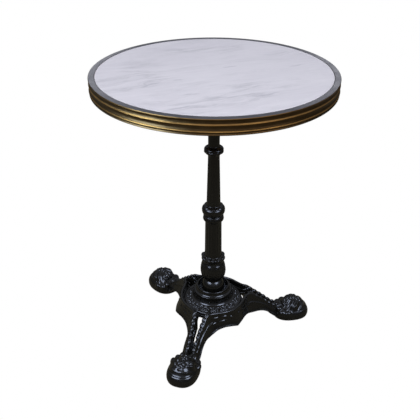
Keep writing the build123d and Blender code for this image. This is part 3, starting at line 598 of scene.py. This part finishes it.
# ---- the rosette ----
ROSETTE_LEAVES = 16
SCROLL_INNER, SCROLL_OUTER = 63.0, 73.5


def rosette_relief(r, z, angle):
    """A running scroll of curled leaves round the sloping disc, inside a smooth lip."""
    face = window(z, 88, 105, 3) * window(r, SCROLL_INNER, SCROLL_OUTER, 1.6)
    across = sector(angle, ROSETTE_LEAVES, FRONT) * r
    # Each leaf curls: its midrib swings from one side to the other as it climbs
    rise = (r - SCROLL_INNER + 1) / 15
    midrib = across - 6.0 * np.sin(math.pi * (rise - 0.5))
    strokes = 0.55 + 0.45 * np.cos(2 * math.pi * (r + 0.8 * np.abs(midrib)) / 5.0)
    # Two curls either side of it, one ring-shaped with an eye, and a bud at the outer edge
    curl = np.hypot(across + 5.0, r - 72.0)
    second = np.hypot(across - 6.4, r - 66.0)
    bud = np.hypot(across - 8.0, r - 74.5)
    scroll = np.maximum(ridge(curl - 3.8, 1.5), ridge(curl, 1.6))
    scroll = np.maximum(scroll, ridge(second - 2.4, 1.6))
    scroll = np.maximum(scroll, ridge(bud, 2.4))
    height, sunk = 2.8, 0.9
    return face * (height * np.maximum(ridge(midrib, 2.6) * strokes, scroll) - sunk)


def build_rosette():
    """A stepped cup for the ball on a sloping disc, open underneath."""
    foot, foot_inner, roof, socket = 84.0, 24.0, 99.0, 11.2
    lip_foot, lip_top, cup_foot = (79.5, foot), (79.6, 91.3), (53.4, 106.4)
    step_top, mouth, seat = (49.8, 124.0), (41.8, 134.6), (27.0, BALL_FOOT)
    outline = straight(
        (BORE, foot), (foot_inner, foot), (foot_inner, 99.5), (38, 102), (46, 110), (47, 99), (68, 87.5),
        (73, foot), lip_foot, spacing=6,
    )
    outline += through(lip_foot, (81.2, 85.4), (81.7, 87.8), (81.2, 90.0), lip_top, spacing=0.8)
    outline += through(
        lip_top, (78.2, 91.6), (76.4, 91.4), (70, 94.4), (62, 98.3), (57, 101.2), cup_foot, spacing=0.8,
    )
    outline += through(
        cup_foot, (53.6, 109.6), (53.6, 121), (53.1, 122.9), (51.6, 123.8), step_top, spacing=0.9,
    )
    outline += through(
        step_top, (47.8, 126), (46.4, 129.4), (45.8, 132.6), (46.0, 134.8), (44.8, 136.4), (43.0, 136.4),
        mouth, spacing=0.9,
    )
    outline += through(mouth, (40.8, 128), (38.6, 119), (34.5, 112), (30.5, 109), seat, spacing=1.2)
    outline += straight(
        seat, (18.2, BALL_FOOT), (18.2, BALL_FOOT - 0.2), (socket, BALL_FOOT - 0.2), (socket, roof),
        (BORE, roof), spacing=6,
    )
    outline += straight((BORE, roof), (BORE, foot), spacing=30)
    lathe("rosette", outline, rosette_relief, 512, IRON, ["base_rosette"])


# ---- signed distance shapes for the sculpted castings ----
def smooth_min(a, b, k):
    h = np.clip(0.5 + 0.5 * (b - a) / k, 0, 1)
    return b + (a - b) * h - k * h * (1 - h)


def smooth_max(a, b, k):
    return -smooth_min(-a, -b, k)


def capsule(x, y, z, start, end, r_start, r_end):
    """Distance to a tapered capsule between two points."""
    ax, ay, az = start
    dx, dy, dz = (e - s for s, e in zip(start, end))
    t = np.clip(((x - ax) * dx + (y - ay) * dy + (z - az) * dz) / (dx * dx + dy * dy + dz * dz), 0, 1)
    reach = np.sqrt((x - ax - t * dx) ** 2 + (y - ay - t * dy) ** 2 + (z - az - t * dz) ** 2)
    return reach - (r_start + (r_end - r_start) * t)


def ball(x, y, z, centre, radii):
    """Approximate distance to an ellipsoid."""
    rx, ry, rz = radii
    px, py, pz = x - centre[0], y - centre[1], z - centre[2]
    k0 = np.sqrt((px / rx) ** 2 + (py / ry) ** 2 + (pz / rz) ** 2)
    k1 = np.sqrt((px / rx**2) ** 2 + (py / ry**2) ** 2 + (pz / rz**2) ** 2)
    return k0 * (k0 - 1) / np.maximum(k1, 1e-6)


def sculpt(name, distance, low, voxel, replaces, turn=0.0):
    """Meshes the zero surface of a distance grid that starts at low, turned about Z by turn degrees."""
    band = 4 * voxel
    grid = vdb.FloatGrid(background=float(band))
    grid.copyFromArray(np.clip(distance, -band, band).astype(np.float32))
    points, _, quads = grid.convertToPolygons(isovalue=0.0, adaptivity=0.0)
    verts = points.astype(np.float64) * voxel + np.array(low)
    c, s = math.cos(math.radians(turn)), math.sin(math.radians(turn))
    x, y, z = verts.T
    verts = np.stack([x * c - y * s, x * s + y * c, z], axis=1)
    return piece(name, verts, quads[:, ::-1], IRON, replaces)


def axis_points(low, high, voxel):
    return np.arange(low, high + voxel, voxel)


# ---- the tripod base ----
# Stations of the wall and rib on one side of a leg, in the leg's frame: x out along the leg, y across.
# Each has its top edge and its foot edge. The first is the corner between two legs.
TOP_EDGE = np.array([
    (48.5, 84.0, 99.5), (59.0, 73.8, 100.0), (71.0, 60.0, 100.8), (83.0, 43.0, 101.3),
    (95.0, 27.5, 102.5), (107.0, 22.0, 101.5), (121.0, 20.0, 91.5), (137.0, 17.5, 79.5),
    (154.0, 15.0, 65.5), (171.0, 13.2, 50.5), (190.0, 12.5, 38.0),
])
FOOT_EDGE = np.array([
    (57.5, 99.6, 50.0), (66.0, 87.0, 54.0), (79.0, 67.5, 56.5), (94.0, 49.5, 52.5),
    (108.0, 39.0, 46.5), (118.0, 33.5, 43.5), (131.0, 28.5, 41.5), (147.0, 27.0, 38.5),
    (161.0, 27.0, 31.5), (173.0, 27.0, 20.0), (186.0, 26.0, 9.0),
])
WALL = 6.0
ROPE_PITCH = 17.0
RIB_STATION = 4.2                    # the station where the strap ends and the leg's rib begins
SLOT_NEAR, SLOT_FAR = 85.0, 152.0    # the slot between the two ribs of a leg
FAR_OFF = 14.0                       # added to a distance to leave a shape out


def slot_half_width(x):
    """The slot narrows towards the paw."""
    return 12.0 - 9.5 * (x - SLOT_NEAR) / (SLOT_FAR - SLOT_NEAR)


def resample(points, per_span):
    """A smooth curve through the stations, with per_span points from each to the next."""
    out = [spline(*span, i / per_span) for span in spans(points) for i in range(per_span)]
    return np.array(out + [points[-1]])


def ribbon(x, y, z):
    """For every point: signed offset from the wall's outer face, run along its top edge, heights of its
    top and foot, and the station, counted from the corner."""
    per_span = 3
    top, foot = resample(TOP_EDGE, per_span), resample(FOOT_EDGE, per_span)
    run = np.concatenate([[0], np.cumsum(np.linalg.norm(np.diff(top, axis=0), axis=1))])
    best = np.full(np.broadcast(x, y, z).shape, 1e9)
    side, along, high, low = (np.zeros_like(best) for _ in range(4))
    station = np.zeros_like(best)
    count = len(top) - 1
    for i in range(count):
        ends = []
        for k in (i, i + 1):
            down = np.clip((top[k, 2] - z) / (top[k, 2] - foot[k, 2]), -0.05, 1.15)
            flare = np.sign(down) * np.abs(down) ** 1.35
            ends.append([top[k, axis] + flare * (foot[k, axis] - top[k, axis]) for axis in (0, 1)])
        (ax, ay), (bx, by) = ends
        dx, dy = bx - ax, by - ay
        px, py = x - ax, y - ay
        t = (px * dx + py * dy) / (dx * dx + dy * dy)
        # The wall runs straight on past its last station, into the paw
        t = np.clip(t, 0, None if i == count - 1 else 1)
        ox, oy = px - t * dx, py - t * dy
        gap = ox * ox + oy * oy
        near = gap < best
        best = np.where(near, gap, best)
        side = np.where(near, np.sign(dx * py - dy * px), side)
        share = np.minimum(t, 1)
        along = np.where(near, run[i] + share * (run[i + 1] - run[i]), along)
        high = np.where(near, top[i, 2] + share * (top[i + 1, 2] - top[i, 2]), high)
        low = np.where(near, foot[i, 2] + share * (foot[i + 1, 2] - foot[i, 2]), low)
        station = np.where(near, (i + share) / per_span, station)
    return np.sqrt(best) * side, along, high, low, station


def half_leg(x, y, z):
    """Distance to the strap wall and rib on one side of a leg, with relief; and the wall's own offset."""
    offset, run, high, low, station = ribbon(x, y, z)
    # The corner between two legs is rounded off, on a face that leans out towards its foot
    corner_reach, corner_lean, corner_top = 94.5, 0.31, 100
    corner = x * math.cos(math.pi / 3) + y * math.sin(math.pi / 3)
    offset = smooth_max(offset, corner - corner_reach - corner_lean * (corner_top - z), 9)
    down = (high - z) / np.maximum(high - low, 1.0)
    rib = step(station, 3.6, 4.6)                      # 0 on the strap, 1 on the leg's rib
    slope = 1 - 0.28 * rib                             # the rib's top is steep, so its height counts for less
    # Wall with a smooth face; the face is a little hollow between its top and foot
    face = offset + 0.8 * np.sin(math.pi * np.clip(down, 0, 1)) * (1 - rib)
    # Leaf strokes in two rows near the root of the leg, and the small boss by the corner
    stroke_pitch, stroke_lean, stroke_height = 26.0, 30.0, 2.4
    phase = 2 * math.pi * (run - stroke_lean * down) / stroke_pitch
    rows = ridge(down - 0.26, 0.042) + ridge(down - 0.54, 0.042)
    rows = rows * window(station, 1.9, 4.0, 0.35)
    face = face - stroke_height * rows * (0.5 + 0.5 * np.cos(phase)) ** 0.45
    station_length, wall_height = 16.0, 48.0
    boss = np.hypot((station - 1.05) * station_length, (down - 0.36) * wall_height)
    face = face - 3.2 * ridge(boss, 3.4)
    # Ridge line down the outer face of the rib and a rolled foot edge
    line_share = 0.46 - 0.08 * step(station, 4, 9)
    line = ridge((down - line_share) * (high - low), 2.2) * window(station, RIB_STATION, 9.2, 0.8)
    rolled_edge = ridge((down - 1.0) * (high - low) + 2.5, 3.0)
    face = face - 2.6 * line - 1.3 * rolled_edge
    top = (z - high) * slope
    wall = smooth_max(np.abs(face + WALL / 2) - WALL / 2, top, 2.5)
    # The rib is solid from its face to the slot, with a pocket cast in from below
    rib_start, pocket_start, pocket_end, pocket_depth = 97.0, 99.0, 182.0, 0.45
    slot = slot_half_width(x)
    slot = np.where(x > SLOT_FAR, slot - 0.8 * (x - SLOT_FAR), slot)
    body = smooth_max(smooth_max(face, slot - y, 2.0), rib_start - x, 3.0)
    body = smooth_max(body, top + 4.0 + 7 * ridge(y, 6.0), 2.5)
    pocket = smooth_max(offset + 8.5, slot + 5 - y, 1.5)
    pocket = smooth_max(pocket, z - low - pocket_depth * (high - low), 2.0)
    pocket = smooth_max(pocket, smooth_max(pocket_start - x, x - pocket_end, 1.0), 2.0)
    body = smooth_max(body, -pocket, 1.5)
    wall = smooth_min(wall, body, 2.0)
    wall = smooth_max(wall, (low - z) * 0.95, 3.0)
    # Rolled lip along the strap's top edge, fading out down the rib
    lip = np.hypot(offset + 2.6, top + 1.6) - (3.4 - 1.2 * step(station, RIB_STATION, 6.0))
    shape = smooth_min(wall, lip, 1.6)
    # Twisted rope along the rib's top
    inset = 7.5 - 3.6 * step(station, 6.0, 8.5)
    up, out = top + 3.0, offset + inset
    twist = np.abs(np.cos(math.pi * run / ROPE_PITCH + 0.35 * np.arctan2(up, out + 1e-6)))
    rope = np.hypot(out, up) - (2.4 + 4.2 * twist ** 0.55)
    rope = rope + FAR_OFF * (1 - step(station, RIB_STATION, RIB_STATION + 0.5))
    shape = smooth_min(shape, rope, 1.0)
    # Row of small teeth along the rib's inner edge
    tooth = np.abs(np.cos(math.pi * run / (ROPE_PITCH / 2)))
    teeth = np.hypot(y - slot - 0.8, top + 7.5) - (1.0 + 1.2 * tooth ** 0.8)
    teeth = teeth + FAR_OFF * (1 - window(station, 4.3, 8.0, 0.3))
    return smooth_min(shape, teeth, 1.2), offset


def leg_distance(x, y, z):
    """Distance to one leg and its share of the strap wall; y is never negative."""
    shape, offset = half_leg(x, y, z)
    # The leg runs on under the paw's dome, behind a plain cross-band
    ankle = capsule(x, y, z, (180, 0, 22), (212, 0, 24), 8.0, 15)
    shape = smooth_min(shape, ankle, 4)
    # Floor plate that fills the ring inside the wall, open only at the slots, and the hub under it
    radius = np.hypot(x, y)
    plate_middle, plate_half, plate_end = 79.5, 4.5, 104.0
    hub_middle, hub_half, hub_radius = 71.0, 11.0, 20.0
    plate = smooth_max(offset + 2, np.abs(z - plate_middle) - plate_half, 1.5)
    plate = smooth_max(plate, np.minimum(x - SLOT_NEAR, slot_half_width(x) - y), 1.0)
    plate = smooth_max(plate, x - plate_end, 1.0)
    hub = smooth_max(radius - hub_radius, np.abs(z - hub_middle) - hub_half, 1.5)
    shape = smooth_min(smooth_min(shape, plate, 2), hub, 3)
    return np.maximum(shape, BORE - radius)


pad_low, pad_high = cad_box_of("glide_pad_front")
PAW_REACH = -(pad_low[1] + pad_high[1]) / 2
PAW_HALF_LENGTH, PAW_HALF_WIDTH = 53.0, 42.5


def bun(x, y, z, centre, radii, power):
    """Rough distance to a rounded block: an ellipsoid with fuller shoulders."""
    away = [p - c for p, c in zip((x, y, z), centre)]
    share = sum(np.abs(a / radius) ** power for a, radius in zip(away, radii)) ** (1 / power)
    reach = np.sqrt(sum(a**2 for a in away))
    return reach * (1 - 1 / np.maximum(share, 1e-3))


def stroke(x, y, path, width):
    """Ridge along a string of plan points."""
    high = 0
    for (ax, ay), (bx, by) in zip(path, path[1:]):
        dx, dy = bx - ax, by - ay
        t = np.clip(((x - ax) * dx + (y - ay) * dy) / (dx * dx + dy * dy), 0, 1)
        high = np.maximum(high, ridge(np.hypot(x - ax - t * dx, y - ay - t * dy), width))
    return high


def paw_relief(px, side):
    """Height of the scrollwork in plan, 0 to 1; side is the distance from the paw's centre line."""
    # Slanting leaves down the flank, one behind the other
    high = 0
    for path, width in (
        ([(-31, 22), (-19, 16), (-8, 6)], 4.0),
        ([(-22, 34), (-7, 27), (5, 14)], 4.2),
        ([(-5, 38), (9, 31), (17, 18)], 3.8),
    ):
        high = np.maximum(high, stroke(px, side, path, width))
    # Lobed boss over the toes inside a fine arc, and knuckles along the middle
    boss = 23.0
    centre = np.hypot(px - boss, side)
    petals = 0.5 + 0.5 * np.cos(5 * np.arctan2(side, px - boss))
    high = np.maximum(high, ridge(centre, 4.6))
    high = np.maximum(high, 0.7 * petals * ridge(centre - 9.5, 2.8))
    high = np.maximum(high, 0.6 * ridge(np.hypot(px - 2, side) - 36.5, 1.9) * step(px, 8, 20))
    knuckles = 0.5 + 0.5 * np.cos(2 * math.pi * (px - 9) / 9.5)
    high = np.maximum(high, stroke(px, side, [(-18, 0), (10, 0)], 3.0) * knuckles)
    return high * (1 - step(px, 28, 42)) * (1 - step(side, 28, 39))


def paw_distance(x, y, z):
    """Distance to a paw in the leg's frame: a smooth foot, and a lobed dome with scrollwork; hollow below."""
    px, ay = x - PAW_REACH, np.abs(y)
    foot = bun(px, y, z, (0, 0, 11), (PAW_HALF_LENGTH, PAW_HALF_WIDTH, 27), 2.35)
    dome = bun(px, y, z, (9, 0, 12), (37.5, 34, 41), 2.4)
    for centre, radii in (
        ((-14, 0, 38), (15, 13, 14)),
        ((3, 0, 41), (13, 14, 14)),
        ((4, 24, 35), (10, 9, 11)),
    ):
        dome = smooth_min(dome, ball(px, ay, z, centre, radii), 4.5)
    panel = step(z, 22, 32) * step(px, -40, -30)
    scroll_height, scroll_sunk = 4.6, 1.6
    dome = dome - panel * (scroll_height * paw_relief(px, ay) - scroll_sunk)
    shape = smooth_min(foot, dome, 9.0)
    # Two fine mouldings round the toe
    arcs = ridge(z - 30.6, 0.95) + ridge(z - 26.4, 0.95)
    shape = shape - 0.6 * arcs * step(px, 16, 32)
    # Claw at each side, leaf tips where the leg runs in, and the cross-band
    for centre, radii in (
        ((-16, 37.5, 23), (10, 6, 8)),
        ((-32, 29, 22), (9, 8, 9)),
        ((-38, 17, 30), (9, 8, 8)),
    ):
        shape = smooth_min(shape, ball(px, ay, z, centre, radii), 4.0)
    band = capsule(px, ay, z, (-22.5, 0, 44.5), (-23.5, 10, 41), 5.2, 4.4)
    shape = smooth_min(shape, band, 1.5)
    shape = np.maximum(shape, -z)
    # Hollow underneath with the drilled boss for the levelling glide
    boss_radius, boss_foot, hole_radius, hole_top = 13.0, 11.0, 4.2, 43.0
    hollow = ball(px, y, z, (0, 0, 0), (PAW_HALF_LENGTH - 12, PAW_HALF_WIDTH - 11, 33))
    bore = np.hypot(px, y)
    boss = smooth_max(bore - boss_radius, boss_foot - z, 1.0)
    hollow = smooth_max(hollow, -boss, 2.0)
    shape = smooth_max(shape, -hollow, 1.5)
    return np.maximum(shape, -np.maximum(bore - hole_radius, z - hole_top))


def sample(grid, low, voxel, x, y, z):
    """Trilinear values of a grid at the points given."""
    where = [np.clip((p - o) / voxel, 0, n - 1.001) for p, o, n in zip((x, y, z), low, grid.shape)]
    base = [w.astype(np.int32) for w in where]
    f = [(w - b).astype(np.float32) for w, b in zip(where, base)]
    out = 0
    for corner in np.ndindex(2, 2, 2):
        weight = 1
        for share, far in zip(f, corner):
            weight = weight * (share if far else 1 - share)
        out = out + weight * grid[tuple(b + far for b, far in zip(base, corner))]
    return out


def build_base():
    # One half leg is worked out once, in the leg's frame, then folded round the whole base
    voxel = 1.3
    leg_end, reach, reach_behind = 208.0, 210.0, 0.62
    low, high = (-2.0, -2.0, 2.0), (216.0, 112.0, 112.0)
    xs, ys, zs = (axis_points(a, b, voxel) for a, b in zip(low, high))
    half = leg_distance(xs[:, None, None], ys[None, :, None], zs[None, None, :]).astype(np.float32)
    half = np.maximum(half, xs[:, None, None] - leg_end)
    gx, gy = axis_points(-reach, reach, voxel), axis_points(-reach, reach * reach_behind, voxel)
    x, y = gx[:, None], gy[None, :]
    radius, angle = np.hypot(x, y), sector(np.arctan2(y, x), len(LEG_ANGLES), FRONT)
    fold_x, fold_y = radius * np.cos(angle), np.abs(radius * np.sin(angle))
    layers = [sample(half, low, voxel, fold_x, fold_y, np.full_like(fold_x, h)) for h in zs]
    whole = np.stack(layers, axis=2)
    sculpt("base_casting", whole, (gx[0], gy[0], zs[0]), voxel, ["tripod_base"])

    # One paw, turned to each leg
    voxel = 0.95
    low, high = (172.0, -48.0, -3.0), (294.0, 48.0, 66.0)
    xs, ys, zs = (axis_points(a, b, voxel) for a, b in zip(low, high))
    paw = paw_distance(xs[:, None, None], ys[None, :, None], zs[None, None, :])
    for name, angle in zip(LEG_NAMES, LEG_ANGLES):
        sculpt(f"paw_{name}", paw, low, voxel, ["tripod_base"], turn=angle)


# ---- carried-over CAD pieces ----
def finish_cad_nodes():
    """The marble slab and the hidden pieces keep their CAD shape and get their own materials."""
    steel, nylon, ply, core = zinc_steel(), black_nylon(), plywood(), plywood()
    finishes = {
        "marble_slab": marble(), "backing_board": ply, "rim_core_ring": core, "rim_pins": BRASS,
        "mounting_spider": IRON, "spider_screws": steel, "tie_rod": steel, "rod_top_nut": steel,
        "rod_top_washer": steel, "base_washer": steel, "base_nut": steel,
    }
    for name in LEG_NAMES:
        finishes[f"glide_stud_{name}"] = steel
        finishes[f"glide_pad_{name}"] = nylon
    for name, material in finishes.items():
        node = frame["nodes"][name]
        for slot in node.material_slots:
            slot.link = "OBJECT"
            slot.material = material


# ---- floor, light and camera ----
VIEW_AZIMUTH = math.radians(18.9)    # the camera's turn to the right of the front leg


def by_ray(tree, ray, others, seen):
    """A shader that is seen for one kind of ray and others for the rest."""
    path, mixed = tree.nodes.new("ShaderNodeLightPath"), tree.nodes.new("ShaderNodeMixShader")
    for source, target in zip((path.outputs[ray], others.outputs[0], seen.outputs[0]), mixed.inputs):
        tree.links.new(source, target)
    return mixed


def build_floor():
    """A lit white sweep to the camera; to the gloss-black iron it is a dull surface."""
    size = 14.0
    mesh = bpy.data.meshes.new("floor")
    corners = [(-size, -size, 0), (size, -size, 0), (size, size, 0), (-size, size, 0)]
    mesh.from_pydata(corners, [], [(0, 1, 2, 3)])
    floor = bpy.data.objects.new("floor", mesh)
    bpy.context.scene.collection.objects.link(floor)
    n = Nodes("floor")
    n.set(Base_Color=(0.30, 0.285, 0.25), Roughness=0.9)
    lit, dark = n.add("Emission"), n.add("BsdfDiffuse")
    lit.inputs["Color"].default_value = (1, 1, 1, 1)
    dark.inputs["Color"].default_value = (0.165, 0.15, 0.105, 1)
    reflected = by_ray(n.tree, "Is Glossy Ray", n.shader, dark)
    seen = by_ray(n.tree, "Is Camera Ray", reflected, lit)
    output = next(node for node in n.tree.nodes if node.type == "OUTPUT_MATERIAL")
    n.link(seen.outputs[0], output.inputs["Surface"])
    mesh.materials.append(n.material)


def build_world():
    """White to the camera; otherwise dim at the horizon and brighter overhead."""
    world = bpy.data.worlds.new("studio")
    bpy.context.scene.world = world
    world.use_nodes = True
    tree = world.node_tree
    tree.nodes.clear()
    split = tree.nodes.new("ShaderNodeSeparateXYZ")
    tree.links.new(tree.nodes.new("ShaderNodeTexCoord").outputs["Generated"], split.inputs[0])
    ramp = tree.nodes.new("ShaderNodeValToRGB")
    stops = ((0.05, (0.022, 0.021, 0.019, 1)), (0.75, (0.34, 0.36, 0.42, 1)))
    for element, (position, colour) in zip(ramp.color_ramp.elements, stops):
        element.position, element.color = position, colour
    tree.links.new(split.outputs["Z"], ramp.inputs[0])
    white, sky = tree.nodes.new("ShaderNodeBackground"), tree.nodes.new("ShaderNodeBackground")
    white.inputs[0].default_value, white.inputs[1].default_value = (1, 1, 1, 1), 1.05
    tree.links.new(ramp.outputs[0], sky.inputs[0])
    out = tree.nodes.new("ShaderNodeOutputWorld")
    tree.links.new(by_ray(tree, "Is Camera Ray", sky, white).outputs[0], out.inputs[0])


def soft_box(name, place, target, width, height, power, colour):
    """A rectangular studio light aimed at a point."""
    data = bpy.data.lights.new(name, "AREA")
    data.shape, data.size, data.size_y = "RECTANGLE", width, height
    data.energy, data.color = power, colour
    light = bpy.data.objects.new(name, data)
    light.location = place
    light.rotation_euler = (Vector(target) - Vector(place)).to_track_quat("-Z", "Y").to_euler()
    bpy.context.scene.collection.objects.link(light)
    return light


def build_lights():
    """Places are metres to the camera's right, away from it and up, from the foot of the column."""
    side = Vector((math.cos(VIEW_AZIMUTH), math.sin(VIEW_AZIMUTH), 0))
    away = Vector((-math.sin(VIEW_AZIMUTH), math.cos(VIEW_AZIMUTH), 0))

    def at(right, back, up):
        return side * right + away * back + Vector((0, 0, up))

    middle, rim, ring = (0, 0, 0.25), (0, 0, 0.74), (0, 0, 0.76)
    daylight, sky_blue, pale = (0.97, 0.96, 1.0), (0.66, 0.76, 1.0), (0.93, 0.94, 1.0)
    # Broad lights that the gloss doesn't show
    for name, place, target, width, height, power, colour in (
        ("key_left", at(-1.2, -1.35, 2.5), middle, 1.6, 1.6, 31, daylight),
        ("key_right", at(1.15, -1.45, 2.5), middle, 1.4, 1.5, 21.5, daylight),
    ):
        soft_box(name, place, target, width, height, power, colour).visible_glossy = False
    overhead = soft_box("overhead", at(0.0, 1.2, 2.5), (0, 0.1, 0.5), 2.0, 1.4, 21, (0.96, 0.95, 1.0))
    overhead.visible_glossy = False
    # Sheens that only the gloss picks up: some fall on the rim alone, some on all but the rim
    rim_only, all_but_rim = (bpy.data.collections.new(name) for name in ("rim_only", "all_but_rim"))
    for item in bpy.data.objects:
        if item.type == "MESH" and item.name != "floor":
            (rim_only if item.name == "rim_band" else all_but_rim).objects.link(item)
    for name, receivers, place, target, width, height, power, colour in (
        ("sheen_left", all_but_rim, at(-1.5, -1.2, 1.95), middle, 1.5, 1.3, 54, sky_blue),
        ("sheen_right", all_but_rim, at(1.5, -1.25, 1.95), middle, 1.3, 1.3, 47, sky_blue),
        ("rim_glow", rim_only, at(-1.35, -0.95, 1.2), rim, 0.95, 0.9, 42, (0.58, 0.78, 1.0)),
        ("rim_fill", rim_only, at(0.6, -2.2, 1.9), rim, 3.4, 1.2, 13, (1.0, 0.90, 0.78)),
        ("ring_left", rim_only, at(-0.85, 2.3, 1.4), ring, 0.6, 0.5, 1.45, pale),
        ("ring_right", rim_only, at(0.85, 2.3, 1.4), ring, 0.6, 0.5, 1.45, pale),
        ("ring_back", rim_only, at(0, 2.3, 1.06), ring, 0.8, 0.2, 0.28, pale),
        ("rim_edge", rim_only, at(1.6, -1.3, 1.5), rim, 1.2, 1.2, 3.0, (1.0, 0.92, 0.82)),
    ):
        light = soft_box(name, place, target, width, height, power, colour)
        light.visible_diffuse = False
        light.light_linking.receiver_collection = receivers


def build_camera():
    """The viewpoint is 1.55 m out from the column and 1.27 m up, looking 30 degrees down."""
    azimuth, distance, height = VIEW_AZIMUTH, 1.551264, 1.268625
    pitch, roll, yaw = 0.521, -0.004, -0.006
    lens, sensor = 57.296486, 36.0       # millimetres
    data = bpy.data.cameras.new("camera")
    data.sensor_width, data.lens = sensor, lens
    camera = bpy.data.objects.new("camera", data)
    camera.location = (distance * math.sin(azimuth), -distance * math.cos(azimuth), height)
    turn = Euler((math.pi / 2 - pitch, 0, azimuth - yaw)).to_matrix()
    camera.rotation_euler = (turn @ Euler((0, 0, -roll)).to_matrix()).to_euler()
    bpy.context.scene.collection.objects.link(camera)
    bpy.context.scene.camera = camera
    bpy.context.scene.view_settings.view_transform = "Standard"


build_rim()
build_column()
build_rosette()
build_base()
finish_cad_nodes()
build_floor()
build_world()
build_lights()
build_camera()
